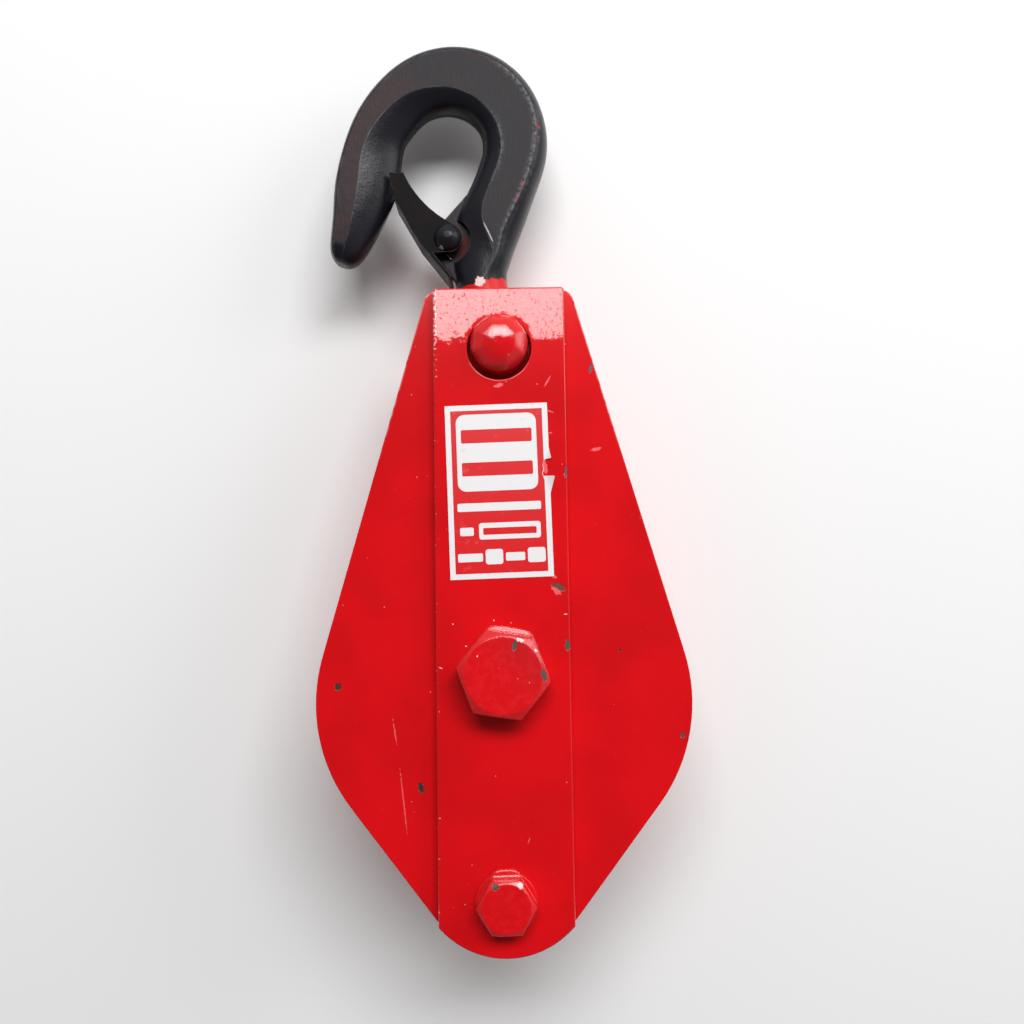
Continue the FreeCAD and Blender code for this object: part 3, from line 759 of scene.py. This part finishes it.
@dataclass(frozen=True)
class Film:
    """Printed vinyl, slightly scuffed and rippled, in mm."""

    name: str
    color: Color
    scuffed: Color
    scuffs: Patches = Patches(3.2, 5.0, 0.6, 0.72, 0.55, 0.7)
    scuff_roughness: float = 0.2
    roughness: float = 0.32
    ripple_wave: float = 6.0
    ripple_height: float = 0.03
    edge: float = 0.05

    def build(self) -> bpy.types.Material:
        """Makes the material.

        Returns:
            The material.
        """
        film = Surface(self.name, self.roughness)
        rubbed = film.patches(self.scuffs)
        film.set("Base Color", film.blend(rubbed, self.color, self.scuffed))
        film.set("Roughness", film.plus(self.roughness, film.times(
            rubbed, self.scuff_roughness)))
        film.emboss(film.times(film.noise(self.ripple_wave), self.ripple_height), self.edge)
        return film.material


@dataclass(frozen=True)
class HookPlane:
    """The hook's own upright plane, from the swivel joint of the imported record."""

    origin: Vector
    up: Vector

    @classmethod
    def from_joints(cls, joints: list[dict]) -> "HookPlane":
        """Reads the swivel's place and axis."""
        swivel = next(joint for joint in joints if joint["name"] == "hook_swivel")
        return cls(Vector(swivel["pos_m"]), Vector(swivel["axis"]).normalized())


HOOK = HookPlane.from_joints(frame["joints"])


def coat(material: bpy.types.Material, *nodes: str) -> None:
    """Gives CAD nodes a material in their first slot.

    Args:
        material: the material.
        nodes: the nodes' names.
    """
    for name in nodes:
        piece = frame["nodes"][name]
        if piece.material_slots:
            piece.material_slots[0].material = material
        else:
            piece.data.materials.append(material)
        log.info("finish %s on %s", material.name, name)


def new_piece(name: str, mesh: bmesh.types.BMesh, body: str, slot: str,
              *materials: bpy.types.Material, smooth: bool = False) -> bpy.types.Object:
    """Turns mesh code into a piece that rides on a body.

    Args:
        name: the piece's name.
        mesh: its shape, in metres.
        body: the CAD body that it moves with.
        slot: the record's material slot of its finish; not used.
        materials: its materials, in slot order.
        smooth: whether its faces are shaded smooth.

    Returns:
        The new object.
    """
    bmesh.ops.recalc_face_normals(mesh, faces=mesh.faces)
    for face in mesh.faces:
        face.smooth = smooth
    data = bpy.data.meshes.new(name)
    mesh.to_mesh(data)
    mesh.free()
    piece = bpy.data.objects.new(name, data)
    for material in materials:
        data.materials.append(material)
    bpy.context.scene.collection.objects.link(piece)
    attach(piece, body)
    log.info("piece %s: %d faces", name, len(data.polygons))
    return piece


def rounded(left: float, low: float, right: float, high: float, radius: float) -> Outline:
    """Outline of a rectangle with round corners, in mm.

    Args:
        left, low: its lower left corner.
        right, high: its upper right corner.
        radius: the corners' radius.

    Returns:
        The outline's points.
    """
    corners = ((right, low, -90), (right, high, 0), (left, high, 90), (left, low, 180))
    points = []
    for x, z, start in corners:
        center_x = x - math.copysign(radius, x - (left + right) / 2)
        center_z = z - math.copysign(radius, z - (low + high) / 2)
        for step in range(CORNER_STEPS + 1):
            angle = math.radians(start + 90 / CORNER_STEPS * step)
            points.append((center_x + radius * math.cos(angle),
                           center_z + radius * math.sin(angle)))
    return points


def add_plate(mesh: bmesh.types.BMesh, outline: Outline, place: Matrix, back: float,
              front: float) -> None:
    """Adds a flat plate to a mesh.

    Args:
        mesh: the mesh.
        outline: the plate's outline, in mm.
        place: the plane that the outline lies in.
        back, front: its two depths, in metres.
    """
    rings = []
    for depth in (back, front):
        ring = [mesh.verts.new(place @ Vector((x * MM, depth, z * MM))) for x, z in outline]
        rings.append(ring)
        mesh.faces.new(ring)
    count = len(outline)
    for step in range(count):
        after = (step + 1) % count
        mesh.faces.new((rings[0][step], rings[0][after], rings[1][after], rings[1][step]))


@dataclass
class SidePlates:
    """The two cheeks and their straps, in red enamel."""

    cheek_marks: tuple[Mark, ...] = (
        *toned(Tone.BARE_STEEL, (60.0, -22.2, 1.6, 1.8),
               (31.6, 103.6, 1.1, 3.4, -14, -18.0, 2.2)),
        *toned(Tone.SCALE, (-56.1, -4.3, 2.6, 2.6), (-28.3, -38.2, 2.2, 3.8, 15),
               (39.5, 6.6, 0.9, 1.1)),
        *toned(Tone.SCRATCH_AND_HIGHLIGHT, (-37.0, -19.5, 0.5, 8.5, 9), (-34.2, -42.5, 0.45, 21, 6),
               (33.0, 75.4, 3.6, 1.3, 12)))
    strap_marks: tuple[Mark, ...] = (
        *toned(Tone.BARE_STEEL, (22.3, 67.7, 1.3, 4.4, -12, -23.0, 2.2),
               (21.5, 8.9, 1.7, 3.4, 8, -23.0, 2.2)),
        *toned(Tone.PRIMER, (18.7, 28.4, 5.0, 2.3, -22)),
        *toned(Tone.DUST_AND_HIGHLIGHT, (21.0, 19.2, 1.0, 0.3), (-16.7, 16.4, 0.4, 0.4),
               (-12.4, 9.0, 0.5, 0.3), (-3.0, 17.5, 0.3, 0.5), (2.7, 16.6, 0.4, 0.3),
               (-20.9, 1.9, 1.2, 0.35, -20)),
        *toned(Tone.SCRATCH_AND_HIGHLIGHT, (17.3, 31.9, 2.4, 0.9, -30), (-0.3, 97.0, 3.2, 1.2, 20),
               (16.5, 98.5, 0.5, 4.4, -30), (7.6, -55.0, 0.4, 2.4, -20),
               (15.0, 68.8, 1.5, 4.8, 8), (18.2, 27.0, 4.2, 1.6, -38),
               (17.0, 80.5, 1.4, 0.5, 15), (16.7, 88.0, 3.4, 0.4, -20),
               (16.2, 56.5, 0.7, 7.0, 4)))
    tilt_line: float = 113.4
    hole_height: float = 110.0
    hole_rim: float = 12.1
    # place of the pale left edge of the strap, partly rubbed paint and partly painted highlight
    wear_and_sheen_edge: float = 21.9
    # height where the painted highlight on the cheeks' upper edges starts, in mm
    highlight_rim_height: float = 70.0

    def build(self) -> None:
        """Dresses cheeks and straps."""
        coat(RedEnamel("cheek_enamel", self.cheek_marks,
                       highlight_rim_above=self.highlight_rim_height).build(), "front_cheek", "rear_cheek")
        strap = RedEnamel("strap_enamel", self.strap_marks, tilt_line=self.tilt_line,
                          tilt_hole=(self.hole_height, self.hole_rim), edge=0.7,
                          wear_and_sheen_edge=self.wear_and_sheen_edge)
        coat(strap.build(), "front_strap", "rear_strap")


@dataclass
class PaintBead:
    """Paint that has gathered in the corner between a hexagon and its seat, in mm."""

    name: str
    across_flats: float
    turn: float
    center_x: float
    center_z: float
    seat: float
    reach: float = 0.35
    hood: float = 1.9
    climb: float = 0.9
    inset: float = 0.3
    top_side: float = 0.9
    side_steps: int = 8
    side_spread: float = 8.2
    hood_power: int = 3
    slope: tuple[Point, ...] = ((0.0, 1.0), (0.08, 0.86), (0.2, 0.62), (0.45, 0.55),
                                (0.84, 0.5), (0.93, 0.36))
    foot: tuple[Point, ...] = ((1.0, 0.02), (1.0, -0.15), (0.0, -0.15))

    def loop(self, share: float, depth: float) -> list[Vector]:
        """Points round the hexagon.

        Args:
            share: share of the bead's reach that they lie at.
            depth: their place along Y.

        Returns:
            The points, in metres.
        """
        inradius = self.across_flats / 2
        half = inradius * math.tan(math.radians(HEX_TURN / 2))
        points = []
        for side in range(360 // HEX_TURN):
            angle = math.radians(self.turn + HEX_TURN / 2 + HEX_TURN * side)
            out = Vector((math.cos(angle), 0.0, math.sin(angle)))
            along = Vector((-math.sin(angle), 0.0, math.cos(angle)))
            above = 1.0 if math.sin(angle) > self.top_side else 0.0
            for step in range(-self.side_steps, self.side_steps):
                place = step / self.side_spread
                swell = math.sqrt(1.0 - abs(place) ** self.hood_power)
                offset = share * (self.reach + (self.hood - self.reach) * above * swell)
                inset = self.inset if share == 0 else 0.0
                spot = out * (inradius + offset - inset) + along * (half * place)
                points.append(Vector((self.center_x, depth, self.center_z)) * MM + spot * MM)
        return points

    def build(self, material: bpy.types.Material) -> bpy.types.Object:
        """Makes the bead as a closed ring.

        Args:
            material: the enamel it is made of.

        Returns:
            The piece.
        """
        mesh = bmesh.new()
        profile = [(share, self.climb * rise) for share, rise in self.slope] + list(self.foot)
        rings = [[mesh.verts.new(point) for point in self.loop(share, self.seat - rise)]
                 for share, rise in profile]
        for first, second in zip(rings, rings[1:] + rings[:1]):
            for step in range(len(first)):
                after = (step + 1) % len(first)
                mesh.faces.new((first[step], first[after], second[after], second[step]))
        return new_piece(self.name, mesh, "frame_body", "red_enamel", material, smooth=True)


@dataclass
class Axle:
    """Axle bolt and nut, their washers and the sleeve that the sheave turns on."""

    across_flats: float = 27.0
    head_turn: float = -9.3
    marks: tuple[Mark, ...] = (
        *toned(Tone.BARE_STEEL, (3.9, 9.6, 1.4, 2.9, -12, -34.5, 2.0),
               (13.1, 0.0, 1.7, 4.0, 14, -34.5, 3.0)),
        # The pale mark at x 5.6 and the pink one at x 8.3 are a painted highlight on the head's
        # upper right.
        *toned(Tone.DUST_AND_HIGHLIGHT, (-8.3, 6.4, 0.5, 0.5), (5.6, 11.4, 3.0, 1.2, -14, -34.0, 2.0),
               (10.6, 8.0, 1.2, 0.9, -50, -34.0, 2.0)),
        *toned(Tone.SCRATCH_AND_HIGHLIGHT, (8.3, 10.7, 2.8, 1.5, -30, -34.0, 2.0)))

    def build(self) -> None:
        """Dresses the axle's pieces and lays the bead of paint round its head."""
        enamel = RedEnamel("axle_enamel", self.marks, waviness=0.035, shade=(0.50, 0.012, 0.016),
                           roughness=0.2, edge=1.0, chalk=0.4).build()
        coat(enamel, "axle_bolt", "axle_nut", "axle_washer")
        coat(BareMetal("turned_steel").build(), "axle_sleeve", "front_side_washer",
             "rear_side_washer")
        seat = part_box("front_strap")[0].y / MM
        PaintBead("axle_paint_bead", self.across_flats, self.head_turn, center_x=0.0,
                  center_z=0.0, seat=seat).build(enamel)


@dataclass
class Tie:
    """Tie bolt with its nut, washers and spacer at the foot of the cheeks."""

    across_flats: float = 17.0
    head_turn: float = 1.2
    marks: tuple[Mark, ...] = (
        *toned(Tone.BARE_STEEL, (-3.6, -67.5, 2.6, 2.2, 20, -30.0, 3.5)),
        # The pale mark at x 4.6 is a painted highlight on the head's upper right.
        *toned(Tone.DUST_AND_HIGHLIGHT, (4.6, -67.3, 1.7, 1.9, 20, -30.0, 3.5)))

    def build(self) -> None:
        """Dresses the tie's pieces and lays the bead of paint round its head."""
        enamel = RedEnamel("tie_enamel", self.marks, waviness=0.035, roughness=0.2,
                           edge=0.9, chalk=0.3).build()
        coat(enamel, "tie_bolt", "tie_nut", "tie_front_washer", "tie_rear_washer")
        coat(BareMetal("zinc_steel", color=(0.45, 0.44, 0.42)).build(), "tie_spacer")
        low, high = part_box("tie_front_washer")
        center = (low + high) / 2 / MM
        PaintBead("tie_paint_bead", self.across_flats, self.head_turn, center.x, center.z,
                  seat=low.y / MM, reach=0.3, hood=2.6, climb=1.0).build(enamel)


@dataclass
class Crosshead:
    """Crosshead whose hand-ground ends show through the straps."""

    def build(self) -> None:
        """Dresses the crosshead."""
        coat(RedEnamel("journal_enamel", waviness=0.055, shade=(0.55, 0.01, 0.014),
                       roughness=0.07, edge=3.0).build(), "crosshead")


@dataclass
class Hook:
    """Forged hook, with the nut, washer and split pin that hold its shank."""

    red_below: float = 29.0
    flush: Band = (-24.0, -44.0)
    # where the painted ridge highlight starts, in mm
    ridge_highlight_right_of: float = -4.0
    marks: tuple[Mark, ...] = (
        *toned(Tone.BARE_STEEL, (-15.3, 161.9, 0.45, 6.0, 17, -4.0, 5.0)),
        *toned(Tone.RUBBED, (-3.4, 155.4, 0.5, 9.0, 24, -9.0, 4.0)),
        # The pale mark on the red neck is a painted reflection.
        *toned(Tone.DUST_AND_HIGHLIGHT, (-6.7, 137.4, 3.6, 3.4, 8, -9.0, 6.0)),
        *toned(Tone.OVERSPRAY, (15.4, 194.0, 1.4, 1.3), (6.9, 167.6, 1.2, 1.3, -30),
               (9.2, 173.0, 0.4, 3.0, -20), (15.0, 190.5, 0.8, 0.7)),
        *toned(Tone.MAROON, (-12.8, 152.2, 4.4, 9.0, -12, 0.0, 60.0)))

    def build(self) -> None:
        """Dresses the hook and what holds it."""
        coat(BlackPaint("hook_black", self.marks, red_below=self.red_below,
                        flush=self.flush, ridge_highlight_right_of=self.ridge_highlight_right_of).build(),
             "hook")
        coat(BareMetal("nut_steel").build(), "shank_nut", "thrust_washer")
        coat(BareMetal("pin_steel", color=(0.42, 0.42, 0.41)).build(), "shank_split_pin")


@dataclass
class Latch:
    """Stamped latch, its rivet and its spring."""

    rivet_marks: tuple[Mark, ...] = toned(Tone.RUBBED, (-21.1, 149.4, 3.0, 2.4, 30, -11.0, 8.0))

    def build(self) -> None:
        """Dresses the latch."""
        coat(BlackPaint("latch_black", color=(0.004, 0.0035, 0.004), flank_shade=(0.004, 0.0035, 0.004),
                        tint=(0.014, 0.004, 0.004), gloss=0.08, grain=0.03, lumps=0.04,
                        ground=0.0, edge=0.4).build(), "latch")
        coat(BlackPaint("rivet_black", self.rivet_marks, color=(0.014, 0.012, 0.014), grain=0.04,
                        lumps=0.06, ground=0.0, edge=0.6).build(), "latch_rivet")
        coat(BareMetal("spring_wire", color=(0.2, 0.2, 0.21), roughness=0.3).build(),
             "latch_spring")


@dataclass
class Sheave:
    """The wheel and its bush."""

    def build(self) -> None:
        """Dresses the sheave and the bush."""
        coat(CastIron("sheave_cast_iron").build(), "sheave")
        coat(BareMetal("bush_bronze", color=(0.50, 0.30, 0.12), stain=(0.2, 0.1, 0.04),
                       roughness=0.32).build(), "sheave_bush")


@dataclass(frozen=True)
class PrintedField:
    """A plain field on the label, by its sides from the label's top left, in mm."""

    left: float
    top: float
    right: float
    bottom: float
    radius: float = 0.5


@dataclass
class Label:
    """Sticker on the front strap: film, red field and plain fields where words stood."""

    width: float = 34.8
    height: float = 59.0
    turn: float = 1.4
    border: float = 1.85
    lift: float = 0.02
    panel: PrintedField = PrintedField(3.6, 3.2, 30.8, 29.4, 2.9)
    red_fields: tuple[PrintedField, ...] = (
        PrintedField(5.2, 8.4, 29.2, 13.0), PrintedField(5.2, 19.6, 29.2, 24.2),
        PrintedField(11.6, 41.9, 29.6, 44.2, 0.4))
    white_fields: tuple[PrintedField, ...] = (
        PrintedField(3.2, 33.4, 31.4, 36.2), PrintedField(3.8, 41.6, 8.4, 44.4),
        PrintedField(10.2, 40.2, 31.0, 45.8, 0.9), PrintedField(2.8, 50.4, 11.2, 53.2),
        PrintedField(12.1, 49.1, 18.0, 54.2, 0.9), PrintedField(18.9, 50.4, 25.4, 53.2),
        PrintedField(26.3, 49.0, 32.3, 54.0, 0.9))
    tear: tuple[Point, ...] = (
        (34.8, 18.1), (33.9, 19.2), (32.9, 19.8), (32.6, 21.4), (32.9, 22.8), (32.4, 24.2),
        (32.6, 25.0), (34.8, 31.0))
    torn_print: tuple[Point, ...] = ((32.5, 21.4), (32.7, 22.8), (32.2, 24.2))
    torn_print_ends: Band = (19.4, 26.4)
    flaps: tuple[tuple[Point, Point, Point], ...] = (
        ((34.8, 15.5), (33.7, 19.3), (35.5, 19.1)), ((32.6, 25.0), (34.8, 31.0), (36.5, 25.2)))
    flap_lift: float = 1.1
    flap_curl: float = 1.6
    flap_reach: float = 0.92
    flap_steps: int = 3
    flap_thickness: float = 0.1

    def place(self) -> Matrix:
        """Label plane in the block: its top left corner, turned, on the strap.

        Returns:
            The plane's place.
        """
        low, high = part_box("label_sticker")
        center = (low + high) / 2
        turn = Matrix.Rotation(-math.radians(self.turn), 4, "Y")
        corner = Matrix.Translation((-self.width / 2 * MM, 0.0, self.height / 2 * MM))
        return Matrix.Translation((center.x, 0.0, center.z)) @ turn @ corner

    def build(self) -> None:
        """Makes film, prints and the two flaps of the tear."""
        low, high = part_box("label_sticker")
        front, back, place = low.y, high.y, self.place()
        white = Film("label_white", (0.80, 0.78, 0.79), (0.68, 0.62, 0.62)).build()
        red = Film("label_red", (0.68, 0.006, 0.010), (0.80, 0.10, 0.10)).build()
        mesh = bmesh.new()
        corners = [(0.0, 0.0), (self.width, 0.0)] + [(x, -down) for x, down in self.tear]
        corners += [(self.width, -self.height), (0.0, -self.height)]
        add_plate(mesh, corners, place, back, front)
        for first, second, tip in self.flaps:
            self.add_flap(mesh, place, front, first, second, tip)
        film = new_piece("label_sheet", mesh, "frame_body", "label_film", white)
        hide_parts("label_sticker")
        edge, right = self.border, self.width - self.border
        start, end = self.torn_print_ends
        field = [(edge, -edge), (right, -edge), (right, -start)]
        field += [(x, -down) for x, down in self.torn_print]
        field += [(right, -end), (right, edge - self.height), (edge, edge - self.height)]
        steps = ((("label_field", red), [field]),
                 (("label_white_print", white), [self.outline(self.panel)]
                  + [self.outline(spot) for spot in self.white_fields]),
                 (("label_red_print", red), [self.outline(spot) for spot in self.red_fields]))
        for number, ((name, material), outlines) in enumerate(steps):
            mesh = bmesh.new()
            rise = self.lift * MM * (number + 1)
            for outline in outlines:
                add_plate(mesh, outline, place, front, front - rise)
            new_piece(name, mesh, "frame_body", "label_film", material)

    def add_flap(self, mesh: bmesh.types.BMesh, place: Matrix, front: float,
                 first: Point, second: Point, tip: Point) -> None:
        """Adds a torn corner of film that curls away from the strap.

        Args:
            mesh: the film's mesh.
            place: the label plane.
            front: depth of the film's front.
            first, second: ends of the line where it is still attached.
            tip: its free corner.
        """
        rows = []
        for step in range(self.flap_steps + 1):
            share = step / self.flap_steps
            depth = front - self.flap_lift * MM * share ** self.flap_curl
            row = []
            for base in (first, second):
                x = base[0] + (tip[0] - base[0]) * share * self.flap_reach
                down = base[1] + (tip[1] - base[1]) * share * self.flap_reach
                row.append(place @ Vector((x * MM, depth, -down * MM)))
            behind = Vector((0.0, self.flap_thickness * MM, 0.0))
            rows.append([mesh.verts.new(corner) for corner in row]
                        + [mesh.verts.new(corner + behind) for corner in row])
        for before, after in zip(rows, rows[1:]):
            for one, two in ((0, 1), (1, 3), (3, 2), (2, 0)):
                mesh.faces.new((before[one], before[two], after[two], after[one]))
        for row in (rows[0], rows[-1]):
            mesh.faces.new((row[0], row[1], row[3], row[2]))

    @staticmethod
    def outline(spot: PrintedField) -> Outline:
        """Outline of a plain field."""
        return rounded(spot.left, -spot.bottom, spot.right, -spot.top, spot.radius)


@dataclass(frozen=True)
class Lamp:
    """A soft rectangular lamp, by its direction and distance from the block."""

    name: str
    turn: float
    rise: float
    size: Point
    power: float
    distance: float = 1.0
    aim: tuple[float, float, float] = (0.0, 0.0, 0.06)

    def build(self) -> None:
        """Hangs the lamp so that it faces the block."""
        light = bpy.data.lights.new(self.name, "AREA")
        light.shape = "RECTANGLE"
        light.size, light.size_y = self.size
        light.energy = self.power
        lamp = bpy.data.objects.new(self.name, light)
        turn, rise = math.radians(self.turn), math.radians(self.rise)
        toward = Vector((math.sin(turn) * math.cos(rise), -math.cos(turn) * math.cos(rise),
                         math.sin(rise)))
        lamp.location = Vector(self.aim) + toward * self.distance
        lamp.rotation_mode = "QUATERNION"
        lamp.rotation_quaternion = (-toward).to_track_quat("-Z", "Y")
        bpy.context.scene.collection.objects.link(lamp)


@dataclass
class Studio:
    """Table, lamps, surroundings and the camera at the photograph's angle."""

    camera_place: tuple[float, float, float] = (3.6, -367.6, 29.0)
    camera_rise: float = 4.11
    camera_roll: float = -0.84
    lens: float = 36.0
    sensor: float = 36.0
    camera_clip: Band = (0.01, 20.0)
    table_gap: float = 0.6
    table_size: float = 2.4
    table_lean: float = 7.2
    table_color: Color = (0.94, 0.94, 0.94)
    lamps: tuple[Lamp, ...] = (
        Lamp("window", 7.0, 30.0, (1.28, 0.48), 24.5, 1.6),
        Lamp("side_window", 62.0, 24.0, (1.0, 0.9), 7.5, 1.8),
        Lamp("rear_fill", 160.0, 35.0, (0.9, 0.9), 6.0, 1.2))
    sky_toward: tuple[float, float, float] = (0.42, -0.30, 0.86)
    sky_low: float = 0.19
    sky_high: float = 0.64
    sky_band: Band = (-0.4, 0.9)
    front_share: float = 0.12
    front_band: Band = (0.60, 0.93)
    backdrop: float = 0.9

    def build(self) -> None:
        """Makes the studio."""
        self.build_table()
        for lamp in self.lamps:
            lamp.build()
        self.build_surroundings()
        self.build_camera()

    def build_table(self) -> None:
        """Pale table that the block lies on, seen only from the block's side of it."""
        lean = math.radians(self.table_lean)
        back = Vector((0.0, math.cos(lean), math.sin(lean)))
        along = Vector((0.0, -math.sin(lean), math.cos(lean)))
        depth = max(back.dot(vertex.co) for name in frame["nodes"]
                    for vertex in frame["nodes"][name].data.vertices) + self.table_gap * MM
        half = self.table_size / 2
        mesh = bmesh.new()
        corners = ((-1, -1), (1, -1), (1, 1), (-1, 1))
        mesh.faces.new([mesh.verts.new(
            back * depth + Vector((x * half, 0.0, 0.0)) + along * z * half) for x, z in corners])
        data = bpy.data.meshes.new("table")
        mesh.to_mesh(data)
        mesh.free()
        table = bpy.data.objects.new("table", data)
        bpy.context.scene.collection.objects.link(table)
        if data.polygons[0].normal.y > 0:
            data.flip_normals()
        top = Surface("table_white")
        path = top.add("ShaderNodeLightPath").outputs
        seen = top.math("MAXIMUM", path["Is Camera Ray"], path["Is Glossy Ray"])
        behind = top.add("ShaderNodeNewGeometry").outputs["Backfacing"]
        shown = top.times(seen, top.math("SUBTRACT", 1.0, behind))
        clear = top.add("ShaderNodeBsdfTransparent")
        matte = top.add("ShaderNodeBsdfDiffuse", {"Color": self.table_color})
        mix = top.add("ShaderNodeMixShader", {0: shown, 1: clear.outputs[0], 2: matte.outputs[0]})
        output = top.nodes["Material Output"]
        top.nodes.remove(top.shader)
        top.feed(output.inputs["Surface"], mix.outputs[0])
        data.materials.append(top.material)

    def build_surroundings(self) -> None:
        """Pale surroundings, brightest at the upper right and dim behind the camera."""
        world = bpy.data.worlds.new("surroundings")
        world.use_nodes = True
        bpy.context.scene.world = world
        sky = Nodes(world.node_tree)
        place = sky.add("ShaderNodeTexCoord").outputs["Generated"]
        upper = sky.level(sky.vector("DOT_PRODUCT", place, self.sky_toward), *self.sky_band,
                          self.sky_high, self.sky_low)
        front = sky.level(sky.vector("DOT_PRODUCT", place, (0.0, -1.0, 0.0)), *self.front_band,
                          self.front_share, 1.0)
        seen = sky.add("ShaderNodeLightPath").outputs["Is Camera Ray"]
        shown = sky.add("ShaderNodeMix", {0: seen, 2: sky.times(upper, front), 3: self.backdrop})
        background = sky.nodes["Background"]
        background.inputs["Color"].default_value = (1.0, 1.0, 1.0, 1.0)
        sky.feed(background.inputs["Strength"], shown.outputs[0])

    def build_camera(self) -> None:
        """Camera where the photograph was taken from."""
        data = bpy.data.cameras.new("camera")
        data.lens = self.lens
        data.sensor_width = self.sensor
        data.clip_start, data.clip_end = self.camera_clip
        camera = bpy.data.objects.new("camera", data)
        camera.location = Vector(self.camera_place) * MM
        turn = Matrix.Rotation(math.radians(90.0 + self.camera_rise), 3, "X")
        roll = Matrix.Rotation(math.radians(self.camera_roll), 3, "Z")
        camera.rotation_mode = "QUATERNION"
        camera.rotation_quaternion = (turn @ roll).to_quaternion()
        bpy.context.scene.collection.objects.link(camera)
        bpy.context.scene.camera = camera


def main() -> None:
    """Builds every sub-assembly in order."""
    logging.basicConfig(level=logging.INFO, format="%(name)s: %(message)s")
    bpy.context.scene.view_settings.view_transform = "Standard"
    for part in (Studio(), SidePlates(), Axle(), Tie(), Crosshead(), Hook(), Latch(), Sheave(),
                 Label()):
        part.build()


if __name__ == "__main__":
    main()
